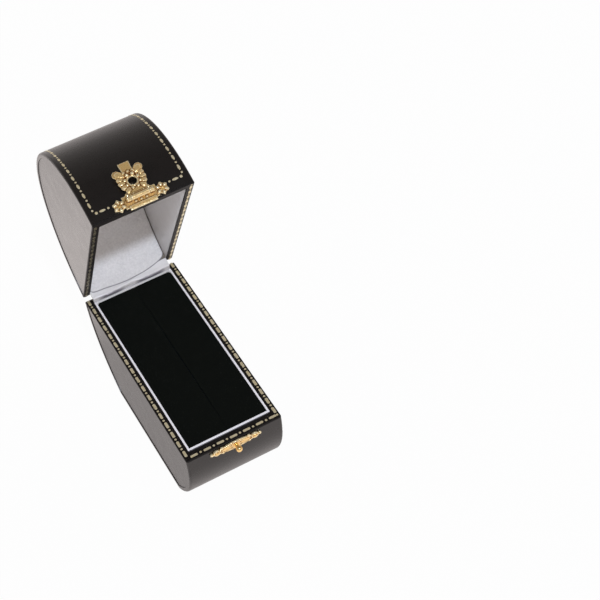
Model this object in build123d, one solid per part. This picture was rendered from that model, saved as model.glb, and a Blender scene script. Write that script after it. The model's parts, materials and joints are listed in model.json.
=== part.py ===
"""Bangle box: a slice of a drum with a flat foot, split into a base and a hinged lid,
with a brass hasp that folds up against the lid.

Everything is drawn with the lid shut. The lid and its hasp are then turned open for export,
because the box rests open. X runs along the width, -Y is the front and +Z is up.
The origin is the centre of the flat underside.
"""
import os
from math import asin, cos, degrees, radians, sin, sqrt

from build123d import *

# Main sizes of the box, in mm
drum_radius = 43.0
box_width = 36.0
drum_centre_height = 35.0
split_height = 37.0
lid_open_angle = 60.0
rim_gap = 0.3

# Boards, leather and lining
leather_thickness = 0.6
glue_gap = 0.1
cheek_board_thickness = 1.2
barrel_board_thickness = 2.2
floor_board_thickness = 2.2
sole_thickness = 0.4
sole_border = 1.2
leather_edge_round = 0.8
foot_corner_round = 1.4
cheek_border = 1.8
cheek_recess = 0.2
rim_leather_thickness = 0.5
rim_edge_round = 0.35
base_side_rim_width = 2.5
base_end_rim_width = 3.5
lid_side_rim_width = 2.5
lid_end_rim_width = 3.3
rim_turn_in = 3.0
satin_thickness = 0.55
round_satin_thickness = 0.7

# Card liner, foam and velvet pads in the base
liner_thickness = 0.7
liner_stand_up = 0.5
liner_end_height = 10.2
pad_slit = 0.5
pad_side_gap = 0.2
pad_drop = 0.2
pad_thickness = 9.0
pad_crown_radius = 60.0
pad_edge_round = 1.1
pad_rear_corner = 2.2
pad_front_corner = 0.8

# Strip hinge at the rear
hinge_stand_off = 0.3
hinge_end_gap = 1.5
hinge_knuckles = 5
hinge_knuckle_radius = 1.0
hinge_pin_radius = 0.5
hinge_bore_radius = 0.55
hinge_leaf_thickness = 0.5
hinge_leaf_width = 2.9
hinge_rod_head_radius = 0.8
hinge_rod_head_length = 0.25
rod_end_play = 0.05
leaf_clearance = 0.2
knuckle_gap = 0.1
rear_groove_half_height = 1.4
rear_groove_depth = 1.5
nail_radius = 0.35
nail_hole_radius = 0.4
nail_length = 3.6
nails_per_leaf = 4
strip_thickness = 0.32
strip_side_gap = 0.35
strip_lining_gap = 0.3
strip_tuck = 3.2
strip_fold_depth = 0.2
strip_fold_height = 1.35
strip_rise = 2.8
strip_reach = 1.15
strip_lap = 3.5

# Clasp
clasp_plate_thickness = 0.6
clasp_seat_gap = 0.1
hasp_axis_rise = 3.3
hasp_axis_stand_off = 1.95
hasp_knuckle_radius = 0.85
hasp_knuckle_half_length = 3.2
plate_knuckle_length = 1.35
plate_bar_top = 2.4
plate_bar_low = 2.0
plate_scallop_radius = 0.75
plate_scallop_pitch = 2.4
plate_lip_half_length = 4.7
plate_lip_low = 0.25
plate_lip_height = 1.6
plate_lip_depth = 0.9
plate_lip_clearance = 0.23
plate_web_depth = 1.45
plate_web_height = 1.5
hasp_rod_head_radius = 0.65
hasp_rod_head_length = 0.2
hasp_pin_radius = 0.4
hasp_bore_radius = 0.45
flap_thickness = 0.6
flap_lean_clearance = 6.36
flap_hole_distance = 5.5
flap_hole_radius = 1.45
flap_body_radius = 3.85
flap_lobe_out = 3.85
flap_lobe_up = 4.0
flap_lobe_radius = 1.4
flap_side_petal_out = 3.55
flap_side_petal_radius = 1.1
flap_low_petal_out = 2.5
flap_low_petal_down = 2.9
flap_low_petal_radius = 1.1
flap_tab_reach = 7.2
flap_tab_half_width = 1.65
flap_tab_flare = 0.3
flap_neck_half_width = 2.4
hasp_plate_rise = 2.6
rosette_offset = 7.5
rosette_reach = 2.35
petal_half_width = 0.95
stud_ball_radius = 1.15
stud_neck_radius = 0.65
stud_collar_radius = 1.25
stud_ball_stand_off = 1.3
catch_plate_drop = 2.3
catch_half_length = 6.1
catch_half_height = 1.8
catch_end_offset = 7.2
catch_end_radius = 1.35
catch_tip_offset = 9.0
catch_tip_radius = 0.65
catch_knob_offset = 5.0
catch_knob_radius = 0.7
tack_radius = 0.3
tack_clearance = 0.04
tack_head_radius = 0.75
tack_head_sunk = 0.25
tack_length = 1.9



def drum_depth(height, radius=drum_radius):
    """How far the round of the given radius reaches in Y at a height."""
    return sqrt(radius ** 2 - (height - drum_centre_height) ** 2)


# Derived places
half_width = box_width / 2
board_radius = drum_radius - leather_thickness - glue_gap
board_inner_radius = board_radius - barrel_board_thickness
cheek_outer_x = half_width - leather_thickness - glue_gap
cheek_inner_x = cheek_outer_x - cheek_board_thickness
base_rim_z = split_height - rim_gap / 2
lid_rim_z = split_height + rim_gap / 2
base_board_top = base_rim_z - rim_leather_thickness - glue_gap / 2
lid_board_bottom = lid_rim_z + rim_leather_thickness + glue_gap / 2
split_reach = drum_depth(split_height)
hinge_y = split_reach + hinge_stand_off
hinge_length = 2 * (cheek_inner_x - hinge_end_gap)
base_mouth_x = half_width - base_side_rim_width
lid_mouth_x = half_width - lid_side_rim_width
base_mouth_y = drum_depth(base_rim_z) - base_end_rim_width
lid_mouth_y = drum_depth(lid_rim_z) - lid_end_rim_width
liner_top = base_rim_z + liner_stand_up
liner_end_low = liner_top - liner_end_height
liner_outer_x = base_mouth_x - glue_gap / 2
liner_room_low = drum_depth(liner_end_low, board_inner_radius) - glue_gap
liner_room_high = drum_depth(base_rim_z, board_inner_radius) - glue_gap
liner_outer_y = min(base_mouth_y - glue_gap, liner_room_low, liner_room_high)
far = 200.0


def block(x0, x1, y0, y1, z0, z1):
    """A box between two corners."""
    middle = Pos((x0 + x1) / 2, (y0 + y1) / 2, (z0 + z1) / 2)
    return middle * Box(x1 - x0, y1 - y0, z1 - z0)


def drum(radius, reach_x, foot_z, foot_round=0.0):
    """The round profile with its flat foot, drawn across the width."""
    reach = drum_depth(foot_z, radius)
    top = drum_centre_height + radius
    arc = ThreePointArc((-reach, foot_z), (0, top), (reach, foot_z))
    foot = Line((reach, foot_z), (-reach, foot_z))
    profile = make_face(arc.edges() + foot.edges())
    if foot_round:
        profile = fillet(profile.vertices(), foot_round)
    return extrude(Plane.YZ * profile, reach_x, both=True)


def above(height):
    """Everything above a height."""
    return block(-far, far, -far, far, height, height + far)


def below(height):
    """Everything below a height."""
    return block(-far, far, -far, far, height - far, height)


def rear_groove(side):
    """The bevel that makes half of the V groove at the rear. side is -1 for the base, +1 for the lid."""
    rim = split_height + side * rim_gap / 2
    inner_y = split_reach - rear_groove_depth
    slope = (rear_groove_half_height - rim_gap / 2) / rear_groove_depth
    outer_y = split_reach + 1.0
    drop = slope * (outer_y - inner_y)
    points = [(inner_y, rim), (outer_y, rim + side * drop), (outer_y, rim - side), (inner_y, rim - side)]
    outline = Polygon(*points, align=None)
    return extrude(Plane.YZ * outline, half_width + 1, both=True)


def opened(shape):
    """Turns a piece of the lid from the shut place to the open place."""
    there = Pos(0, hinge_y, split_height)
    back = Pos(0, -hinge_y, -split_height)
    return there * Rot(-lid_open_angle, 0, 0) * back * shape


def front_plane(height):
    """A work plane on the front leather at a height, with its normal pointing outwards."""
    tilt = asin((height - drum_centre_height) / drum_radius)
    origin = (0, -drum_radius * cos(tilt), drum_centre_height + drum_radius * sin(tilt))
    return Plane(origin=origin, x_dir=(1, 0, 0), z_dir=(0, -cos(tilt), sin(tilt)))


# Nails and tacks
def nail_places():
    """The X places of the nails of one hinge leaf."""
    pitch = hinge_length / nails_per_leaf
    return [-hinge_length / 2 + pitch * (i + 0.5) for i in range(nails_per_leaf)]


def nails(radius, side):
    """The row of nails of a leaf, head end at the leaf's free face. side is -1 for the base."""
    head_z = split_height + side * rim_gap / 2
    middle_z = head_z + side * nail_length / 2
    y = drum_depth(middle_z, board_inner_radius + barrel_board_thickness / 2)
    return [Pos(x, y, middle_z) * Cylinder(radius, nail_length) for x in nail_places()]


def tacks(plane, places, radius, head):
    """The tacks of a clasp plate, along the plate's own normal, with or without their domed heads."""
    face = clasp_seat_gap + clasp_plate_thickness
    root = 0.1
    found = []
    for u, v in places:
        tack = plane * Pos(u, v, face + root - tack_length / 2) * Cylinder(radius, tack_length)
        if head:
            dome = Sphere(tack_head_radius) & block(-1, 1, -1, 1, tack_head_sunk, 1)
            tack += plane * Pos(u, v, face - tack_head_sunk) * dome
        found.append(tack)
    return found


hasp_plane = front_plane(split_height + hasp_plate_rise)
catch_plane = front_plane(split_height - catch_plate_drop)
hasp_tack_places = [(-rosette_offset, 0), (rosette_offset, 0)]
catch_tack_places = [(-catch_end_offset, 0), (catch_end_offset, 0)]


def placed(shape, turn):
    """A node in its rest place. A list of equal solids becomes one node, each solid turned by itself."""
    if isinstance(shape, list):
        return Compound(children=[turn(solid) for solid in shape])
    return turn(shape)


def carved(body, cutters):
    """A body with a list of shapes cut out."""
    for cutter in cutters:
        body = body - cutter
    return body


# Boards, covers and linings that both halves share
def leather_envelope():
    """The outer shape of the whole shut box with its rounded leather edges."""
    shape = drum(drum_radius, half_width, sole_thickness, foot_corner_round)
    ends = shape.edges().group_by(Axis.X)
    return fillet(ends[0] + ends[-1], leather_edge_round)


def board_envelope():
    """The outer shape of the boards of the whole shut box."""
    foot = sole_thickness + leather_thickness + glue_gap
    return drum(board_radius + glue_gap, cheek_outer_x + glue_gap, foot - glue_gap, foot_corner_round - leather_thickness)


def half_of(shape, side):
    """The base half or the lid half of a shape, cut back to the boards' edge and to the rear groove."""
    kept = shape & (above(lid_board_bottom) if side > 0 else below(base_board_top))
    return kept - rear_groove(side)


def cheek_window(side, gap=0.0):
    """The outline that the cheek's leather panel fills, as a solid across the width."""
    radius = drum_radius - cheek_border - gap
    window = drum(radius, far, sole_thickness + cheek_border + gap)
    return half_of(window, side)


def leather_cover(side):
    """Leather round the barrel, turned over the cheeks' edges as a narrow border."""
    cover = half_of(leather_envelope(), side) - board_envelope()
    return cover - cheek_window(side)


def cheek_leather(side, hand):
    """The flat leather panel on a cheek, a little below its border."""
    x0 = half_width - leather_thickness
    x1 = half_width - cheek_recess
    slab = block(min(hand * x0, hand * x1), max(hand * x0, hand * x1), -far, far, -far, far)
    return cheek_window(side, 0.08) & slab


def cheek_board(side, hand):
    """The stiff side board."""
    foot = sole_thickness + leather_thickness + glue_gap
    shape = half_of(drum(board_radius, cheek_outer_x, foot, foot_corner_round - leather_thickness), side)
    xs = sorted((hand * cheek_inner_x, hand * cheek_outer_x))
    return shape & block(xs[0], xs[1], -far, far, -far, far)


def barrel_ring():
    """The bent board round the drum, between the cheeks."""
    foot = sole_thickness + leather_thickness + glue_gap
    outer = drum(board_radius, cheek_inner_x, foot, foot_corner_round - leather_thickness)
    bore = Pos(0, 0, drum_centre_height) * Rot(0, 90, 0) * Cylinder(board_inner_radius, far)
    return outer - bore


def rim_leather(side):
    """The leather turned over the front and side rims: a flat U with a rounded outer edge."""
    free = split_height + side * rim_gap / 2
    glued = free + side * rim_leather_thickness
    reach = drum_depth(free)
    plate = block(-half_width, half_width, -reach, reach, min(free, glued), max(free, glued))
    plate = fillet(plate.edges().filter_by(Axis.Z), leather_edge_round)
    faces = plate.faces().sort_by(Axis.Z)
    free_face = faces[0] if side > 0 else faces[-1]
    plate = fillet(free_face.edges(), rim_edge_round)
    mouth_x = lid_mouth_x if side > 0 else base_mouth_x
    mouth_y = lid_mouth_y if side > 0 else base_mouth_y
    plate -= block(-mouth_x, mouth_x, -mouth_y, far, 0, far)
    plate -= rear_groove(side)
    if side < 0:
        plate += turned_in_lip()
    return plate


def turned_in_lip():
    """The part of the base's rim leather that goes down inside the mouth."""
    top = base_rim_z - rim_leather_thickness
    low = top - rim_turn_in
    thick = rim_leather_thickness
    lip = block(-base_mouth_x - thick, base_mouth_x + thick, -base_mouth_y - thick, liner_outer_y, low, top)
    return lip - block(-base_mouth_x, base_mouth_x, -base_mouth_y, far, low, top)


# Base
def base_boards():
    """Front, rear and floor boards of the base."""
    ring = half_of(barrel_ring(), -1)
    floor_bottom = sole_thickness + leather_thickness + glue_gap
    floor_top = floor_bottom + floor_board_thickness
    front = ring & block(-far, far, -far, 0, -far, far)
    rear = ring & block(-far, far, 0, far, -far, far)
    inside = Pos(0, 0, drum_centre_height) * Rot(0, 90, 0) * Cylinder(board_inner_radius - 0.05, 2 * cheek_inner_x)
    floor = inside & block(-cheek_inner_x, cheek_inner_x, -far, far, floor_bottom, floor_top)
    rear = carved(rear, nails(nail_hole_radius, -1))
    front = carved(front, tacks(catch_plane, catch_tack_places + [(0, 0)], tack_radius + tack_clearance, False))
    return front, rear, floor


def base_sole():
    """The thin pad under the foot that the box stands on."""
    reach_y = drum_depth(sole_thickness) - foot_corner_round / 2 - sole_border
    reach_x = half_width - leather_edge_round - sole_border
    sole = block(-reach_x, reach_x, -reach_y, reach_y, 0, sole_thickness)
    return fillet(sole.edges().filter_by(Axis.Z), 2.0)


def liner_side(hand):
    """A card side of the well, down to the floor, with a straight upright top."""
    bore = drum(board_inner_radius - glue_gap, liner_outer_x, liner_floor())
    shape = bore & below(liner_top)
    shape = shape & block(-far, far, -liner_outer_y, liner_outer_y, -far, far)
    xs = sorted((hand * (liner_outer_x - liner_thickness), hand * liner_outer_x))
    return shape & block(xs[0], xs[1], -far, far, -far, far)


def liner_floor():
    """The height of the top of the floor board, with its glue."""
    return sole_thickness + leather_thickness + glue_gap + floor_board_thickness + glue_gap


def liner_end(direction):
    """A card end of the well. direction is -1 at the front and +1 at the rear."""
    reach_x = liner_outer_x - liner_thickness
    ys = sorted((direction * (liner_outer_y - liner_thickness), direction * liner_outer_y))
    top = liner_top
    return block(-reach_x, reach_x, ys[0], ys[1], liner_end_low, top)


def foam_block(hand):
    """One of the two foam blocks under the velvet, pressed together along the slit."""
    outer = liner_outer_x - liner_thickness - pad_side_gap
    bore = drum(board_inner_radius - 3 * glue_gap, half_width, liner_floor())
    xs = sorted((hand * pad_slit / 2, hand * outer))
    top = base_rim_z - pad_drop - pad_thickness - glue_gap
    end_y = liner_outer_y - liner_thickness - glue_gap
    return bore & block(xs[0], xs[1], -end_y, end_y, -far, top)


def velvet_pad(hand):
    """One velvet pad with a crown, rounded edges and a round rear corner."""
    outer = liner_outer_x - liner_thickness - pad_side_gap
    end_y = liner_outer_y - liner_thickness - pad_side_gap
    top = base_rim_z - pad_drop
    xs = sorted((hand * pad_slit / 2, hand * outer))
    pad = block(xs[0], xs[1], -end_y, end_y, top - pad_thickness, top)
    uprights = pad.edges().filter_by(Axis.Z)
    outer_ones = uprights.group_by(Axis.X)[0] if hand < 0 else uprights.group_by(Axis.X)[-1]
    pad = fillet(outer_ones.sort_by(Axis.Y)[-1], pad_rear_corner)
    uprights = pad.edges().filter_by(Axis.Z)
    outer_ones = uprights.group_by(Axis.X)[0] if hand < 0 else uprights.group_by(Axis.X)[-1]
    pad = fillet(outer_ones.sort_by(Axis.Y)[0], pad_front_corner)
    middle_x = (xs[0] + xs[1]) / 2
    crown = Pos(middle_x, 0, top - pad_crown_radius) * Rot(90, 0, 0) * Cylinder(pad_crown_radius, far)
    pad = pad & crown
    top_face = pad.faces().sort_by(Axis.Z)[-1]
    return fillet(top_face.edges(), pad_edge_round)


# Lid
def lid_round_lining():
    """Satin on card round the inside of the lid."""
    outer = Pos(0, 0, drum_centre_height) * Rot(0, 90, 0) * Cylinder(board_inner_radius - glue_gap, 2 * lid_lining_x())
    inner = Pos(0, 0, drum_centre_height) * Rot(0, 90, 0) * Cylinder(lid_lining_radius(), far)
    return (outer - inner) & above(liner_top + 2 * rim_gap)


def lid_lining_radius():
    """Inner radius of the satin round the lid."""
    return board_inner_radius - glue_gap - round_satin_thickness


def lid_lining_x():
    """How far the round lining reaches to each side: up to the cheek linings."""
    return cheek_inner_x - glue_gap / 2 - satin_thickness - glue_gap


def lid_cheek_lining(hand):
    """Satin on card inside a cheek of the lid."""
    x1 = cheek_inner_x - glue_gap / 2
    xs = sorted((hand * (x1 - satin_thickness), hand * x1))
    bore = Pos(0, 0, drum_centre_height) * Rot(0, 90, 0) * Cylinder(board_inner_radius - glue_gap, far)
    return bore & above(lid_board_bottom + glue_gap) & block(xs[0], xs[1], -far, far, -far, far)


# Strip hinge
def knuckle_spans():
    """Start and end of each knuckle along X."""
    pitch = hinge_length / hinge_knuckles
    start = -hinge_length / 2
    return [(start + i * pitch + knuckle_gap / 2, start + (i + 1) * pitch - knuckle_gap / 2) for i in range(hinge_knuckles)]


def hinge_leaf(side):
    """A brass leaf on the rear rim with its own knuckles. The base has the odd ones."""
    free = split_height + side * rim_gap / 2
    glued = free + side * hinge_leaf_thickness
    y0 = hinge_y - hinge_leaf_width
    clear = hinge_knuckle_radius + leaf_clearance
    leaf = block(-hinge_length / 2, hinge_length / 2, y0, hinge_y - clear, min(free, glued), max(free, glued))
    for number, (x0, x1) in enumerate(knuckle_spans()):
        if (number % 2 == 0) == (side < 0):
            knuckle_side = hinge_y - 0.6 * hinge_knuckle_radius
            leaf += block(x0, x1, hinge_y - 1.1 * clear, knuckle_side, min(free, glued), max(free, glued))
            leaf += Pos((x0 + x1) / 2, hinge_y, split_height) * Rot(0, 90, 0) * Cylinder(hinge_knuckle_radius, x1 - x0)
    leaf -= Pos(0, hinge_y, split_height) * Rot(0, 90, 0) * Cylinder(hinge_bore_radius, far)
    return carved(leaf, nails(nail_hole_radius, side))


def headed_rod(radius, length, head_radius, head_length, y, z):
    """A hinge pin along X with a small head at each end."""
    rod = Pos(0, y, z) * Rot(0, 90, 0) * Cylinder(radius, length + head_length)
    for hand in (-1, 1):
        x = hand * (length / 2 + rod_end_play + head_length / 2)
        rod += Pos(x, y, z) * Rot(0, 90, 0) * Cylinder(head_radius, head_length)
    return rod


def satin_strip():
    """The satin strip that hides the hinge, from the well up to the lid's lining, in its open form."""
    well_y = (liner_outer_y + board_inner_radius) / 2
    path = [(well_y, liner_top - strip_tuck), (well_y, liner_top - strip_tuck / 2), (well_y + 0.05, liner_top),
            (well_y - strip_fold_depth, liner_top + strip_fold_height),
            (well_y + 0.45 * strip_reach, liner_top + 0.67 * strip_rise), (well_y + strip_reach, liner_top + strip_rise)]
    turn = radians(lid_open_angle)
    for share in (0.25, 0.6, 1.0):
        height = lid_board_bottom + share * strip_lap
        y = drum_depth(height, lid_lining_radius() - strip_lining_gap) - hinge_y
        z = height - split_height
        path.append((hinge_y + y * cos(turn) + z * sin(turn), split_height - y * sin(turn) + z * cos(turn)))
    return extrude(Plane.YZ * ribbon(path, strip_thickness, 22), lid_mouth_x - strip_side_gap, both=True)


def ribbon(path, thickness, steps):
    """A thin strip along a smooth path, drawn in short straight facets."""
    curve = Spline(*path)
    near, other = [], []
    for step in range(steps + 1):
        here = curve @ (step / steps)
        along = curve % (step / steps)
        shift = Vector(-along.Y, along.X) * (thickness / 2)
        near.append((here.X + shift.X, here.Y + shift.Y))
        other.append((here.X - shift.X, here.Y - shift.Y))
    return make_face(Polyline(*near, *reversed(other), close=True).edges())


# Clasp
def rosette(u, v):
    """A six-petalled flower outline."""
    flower = Pos(u, v) * Circle(0.6 * rosette_reach)
    for number in range(6):
        shoulder = 0.6 * rosette_reach
        low, high = (shoulder, -petal_half_width), (shoulder, petal_half_width)
        petal = Polygon((0, -petal_half_width / 2), low, (rosette_reach, 0), high, (0, petal_half_width / 2), align=None)
        flower += Pos(u, v) * Rot(0, 0, 30 + 60 * number) * petal
    return flower


def hasp_axis():
    """Y and Z of the hasp's hinge with the lid shut."""
    z = split_height + hasp_axis_rise
    return -drum_depth(z) - hasp_axis_stand_off, z


def hasp_plate():
    """The plate on the lid: two flowers, a bar between them and two end knuckles for the hasp."""
    outline = rosette(-rosette_offset, 0) + rosette(rosette_offset, 0)
    bar_middle = (plate_bar_top - plate_bar_low) / 2
    outline += Pos(0, bar_middle) * Rectangle(2 * (rosette_offset - 0.7 * rosette_reach), plate_bar_top + plate_bar_low)
    for number in range(4):
        outline += Pos((number - 1.5) * plate_scallop_pitch, plate_bar_top) * Circle(plate_scallop_radius)
    arm_middle = hasp_knuckle_half_length + knuckle_gap + plate_knuckle_length / 2
    plate = hasp_plane * Pos(0, 0, clasp_seat_gap) * extrude(outline, clasp_plate_thickness) + plate_lip()
    y, z = hasp_axis()
    for hand in (-1, 1):
        knuckle = Rot(0, 90, 0) * Cylinder(hasp_knuckle_radius, plate_knuckle_length)
        plate += Pos(hand * arm_middle, y, z) * knuckle
        half = plate_knuckle_length / 2
        low, high = z - 0.4 * plate_web_height, z + 0.6 * plate_web_height
        plate += Pos(hand * arm_middle, 0, 0) * block(-half, half, y, y + plate_web_depth, low, high)
    plate -= Pos(0, y, z) * Rot(0, 90, 0) * Cylinder(hasp_bore_radius, far)
    return carved(plate, tacks(hasp_plane, hasp_tack_places, tack_radius + tack_clearance, False))


def plate_lip():
    """The round lip at the plate's lower edge, in front of the rims."""
    low = split_height - plate_lip_low
    back = -drum_depth(low) - plate_lip_clearance
    lip = block(-plate_lip_half_length, plate_lip_half_length, back - plate_lip_depth, back, low, low + plate_lip_height)
    return fillet(lip.edges().filter_by(Axis.X), 0.45 * plate_lip_depth)


def lobe(u, v, reach_u, reach_v, radius):
    """A round-ended petal from one point to another."""
    length = sqrt((reach_u - u) ** 2 + (reach_v - v) ** 2)
    angle = degrees(asin((reach_v - v) / length))
    if reach_u < u:
        angle = 180 - angle
    petal = Pos(length / 2, 0) * Rectangle(length, 2 * radius) + Pos(length, 0) * Circle(radius)
    return Pos(u, v) * Rot(0, 0, angle) * petal


def flap_outline():
    """The flower-shaped flap, drawn upwards from the hasp's axis."""
    hole = flap_hole_distance
    outline = Pos(0, hole) * Circle(flap_body_radius)
    for hand in (-1, 1):
        outline += lobe(0, hole, hand * flap_lobe_out, hole + flap_lobe_up, flap_lobe_radius)
        outline += Pos(hand * flap_side_petal_out, hole) * Circle(flap_side_petal_radius)
        outline += Pos(hand * flap_low_petal_out, hole - flap_low_petal_down) * Circle(flap_low_petal_radius)
    tab = flap_tab_half_width
    tip = hole + flap_tab_reach
    root = hole + flap_body_radius / 2
    tip_half = tab + flap_tab_flare
    outline += Polygon((-tab, root), (tab, root), (tip_half, tip), (-tip_half, tip), align=None)
    foot = hasp_knuckle_half_length - knuckle_gap
    waist = flap_neck_half_width
    waist_v = hole - flap_low_petal_down
    foot_v = hasp_knuckle_radius + 0.5
    outline += Polygon((-foot, 0), (foot, 0), (foot, foot_v), (waist, waist_v), (-waist, waist_v), (-foot, foot_v), align=None)
    return outline - Pos(0, hole) * Circle(flap_hole_radius)


def flap_lean():
    """The folded flap leans back with the plate behind it, and a little further."""
    rise = split_height + hasp_plate_rise - drum_centre_height
    return degrees(asin(rise / drum_radius)) + flap_lean_clearance


def hasp_flap():
    """The flap with its knuckle, folded up and leaning back over the lid's plate."""
    y, z = hasp_axis()
    upright = Plane(origin=(0, 0, 0), x_dir=(1, 0, 0), z_dir=(0, -1, 0))
    flap = upright * extrude(flap_outline(), flap_thickness / 2, both=True)
    flap += Rot(0, 90, 0) * Cylinder(hasp_knuckle_radius, 2 * hasp_knuckle_half_length)
    flap -= Rot(0, 90, 0) * Cylinder(hasp_bore_radius, far)
    return Pos(0, y, z) * Rot(-flap_lean(), 0, 0) * flap


def catch_plate():
    """The pointed plate on the base that carries the stud."""
    outline = Ellipse(catch_half_length, catch_half_height)
    neck_height = 0.7 * catch_end_radius
    for hand in (-1, 1):
        outline += Pos(hand * catch_end_offset, 0) * Circle(catch_end_radius)
        outline += Pos(hand * catch_half_length, 0) * Rectangle(2 * catch_end_radius, 2 * neck_height)
        outline += Pos(hand * catch_tip_offset, 0) * Circle(catch_tip_radius)
        tip_middle = (catch_end_offset + catch_tip_offset) / 2
        outline += Pos(hand * tip_middle, 0) * Rectangle(catch_tip_offset - catch_end_offset, 1.4 * catch_tip_radius)
        for way in (-1, 1):
            outline += Pos(hand * catch_knob_offset, way * neck_height) * Circle(catch_knob_radius)
    plate = catch_plane * Pos(0, 0, clasp_seat_gap) * extrude(outline, clasp_plate_thickness)
    cuts = tacks(catch_plane, catch_tack_places, tack_radius + tack_clearance, False)
    y, z = stud_place()
    cuts.append(stud_shank(stud_neck_radius + tack_clearance, y, z))
    return carved(plate, cuts)


def stud_place():
    """Y and Z of the stud's ball: in line with the flap's hole once the flap hangs."""
    y, z = hasp_axis()
    return y - stud_ball_stand_off, z - flap_hole_distance


def stud_shank(radius, y, z):
    """The stud's shank, from its ball back into the board."""
    length = -drum_depth(z) + 1.9 - y
    return Pos(0, y + length / 2, z) * Rot(90, 0, 0) * Cylinder(radius, length)


def catch_stud():
    """The turned ball stud with its collar."""
    y, z = stud_place()
    stud = stud_shank(stud_neck_radius, y, z) + Pos(0, y, z) * Sphere(stud_ball_radius)
    face = -drum_depth(z) - clasp_seat_gap - clasp_plate_thickness
    stud += Pos(0, face - 0.17, z) * Rot(90, 0, 0) * Cylinder(stud_collar_radius, 0.22)
    return stud


def every_piece():
    """All nodes by name, in their rest places."""
    front, rear, floor = base_boards()
    stud_y, stud_z = stud_place()
    shank = stud_shank(stud_neck_radius + tack_clearance, stud_y, stud_z)
    catch_holes = tacks(catch_plane, catch_tack_places, tack_radius + tack_clearance, False) + [shank]
    hasp_holes = tacks(hasp_plane, hasp_tack_places, tack_radius + tack_clearance, False)
    hasp_y, hasp_z = hasp_axis()
    hasp_rod_length = 2 * (hasp_knuckle_half_length + knuckle_gap + plate_knuckle_length)
    base = {
        "base_floor_board": floor,
        "base_front_board": front - shank,
        "base_rear_board": rear,
        "base_cheek_board_left": cheek_board(-1, -1),
        "base_cheek_board_right": cheek_board(-1, 1),
        "base_leather_cover": carved(leather_cover(-1), catch_holes),
        "base_cheek_leather_left": cheek_leather(-1, -1),
        "base_cheek_leather_right": cheek_leather(-1, 1),
        "base_rim_leather": rim_leather(-1),
        "base_sole": base_sole(),
        "liner_card_left": liner_side(-1),
        "liner_card_right": liner_side(1),
        "liner_card_front": liner_end(-1),
        "liner_card_rear": liner_end(1),
        "foam_block_left": foam_block(-1),
        "foam_block_right": foam_block(1),
        "velvet_pad_left": velvet_pad(-1),
        "velvet_pad_right": velvet_pad(1),
        "catch_plate": catch_plate(),
        "catch_stud": catch_stud(),
        "catch_plate_tacks": tacks(catch_plane, catch_tack_places, tack_radius, True),
        "base_hinge_leaf": hinge_leaf(-1),
        "base_hinge_nails": nails(nail_radius, -1),
        "hinge_rod": headed_rod(hinge_pin_radius, hinge_length, hinge_rod_head_radius, hinge_rod_head_length,
                                hinge_y, split_height),
        "satin_hinge_strip": satin_strip(),
    }
    lid = {
        "lid_round_board": carved(half_of(barrel_ring(), 1), hasp_holes + nails(nail_hole_radius, 1)),
        "lid_cheek_board_left": cheek_board(1, -1),
        "lid_cheek_board_right": cheek_board(1, 1),
        "lid_leather_cover": carved(leather_cover(1), hasp_holes),
        "lid_cheek_leather_left": cheek_leather(1, -1),
        "lid_cheek_leather_right": cheek_leather(1, 1),
        "lid_rim_leather": rim_leather(1),
        "lid_lining_round": lid_round_lining(),
        "lid_lining_left": lid_cheek_lining(-1),
        "lid_lining_right": lid_cheek_lining(1),
        "lid_hinge_leaf": hinge_leaf(1),
        "lid_hinge_nails": nails(nail_radius, 1),
        "hasp_plate": hasp_plate(),
        "hasp_plate_tacks": tacks(hasp_plane, hasp_tack_places, tack_radius, True),
        "hasp_rod": headed_rod(hasp_pin_radius, hasp_rod_length, hasp_rod_head_radius, hasp_rod_head_length, hasp_y, hasp_z),
        "hasp_flap": hasp_flap(),
    }
    pieces = {name: placed(shape, lambda same: same) for name, shape in base.items()}
    pieces.update({name: placed(shape, opened) for name, shape in lid.items()})
    return pieces


def main():
    os.makedirs("parts", exist_ok=True)
    for name, shape in every_piece().items():
        export_step(shape, "parts/" + name + ".step")
        print(name, round(shape.volume, 2))
    y, z = hasp_axis()
    print("hasp axis shut", round(y, 3), round(z, 3), "flap leans", round(flap_lean(), 3))
    turn = radians(lid_open_angle)
    back, up = y - hinge_y, z - split_height
    print("hasp axis at rest", round(hinge_y + back * cos(turn) + up * sin(turn), 4),
          round(split_height - back * sin(turn) + up * cos(turn), 4))


main()
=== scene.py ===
"""Looks of the bangle box: black leatherette with gilt tooling, white satin, black velvet
and a pressed brass hasp, built round the packed CAD frame."""
import json
from math import asin, atan2, cos, pi, radians, sin, sqrt

import bmesh
import bpy
from mathutils import Matrix, Vector, noise


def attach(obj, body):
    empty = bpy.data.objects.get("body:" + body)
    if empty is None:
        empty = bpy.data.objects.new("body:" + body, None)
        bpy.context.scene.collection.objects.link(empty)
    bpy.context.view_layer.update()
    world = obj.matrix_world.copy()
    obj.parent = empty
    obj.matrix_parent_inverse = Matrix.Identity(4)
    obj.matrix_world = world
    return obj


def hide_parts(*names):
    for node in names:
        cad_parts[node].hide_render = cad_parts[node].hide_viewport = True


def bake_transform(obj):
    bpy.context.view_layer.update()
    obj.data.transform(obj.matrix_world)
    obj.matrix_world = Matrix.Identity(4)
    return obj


bl_info = {
    "name": "Bangle box looks",
    "version": (1, 0, 0),
    "blender": (4, 5, 0),
    "location": "View3D > Sidebar > Bangle box",
    "description": "Dresses the packed bangle box with leather, gilt tooling, satin, velvet and brass",
    "category": "Object",
}

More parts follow.
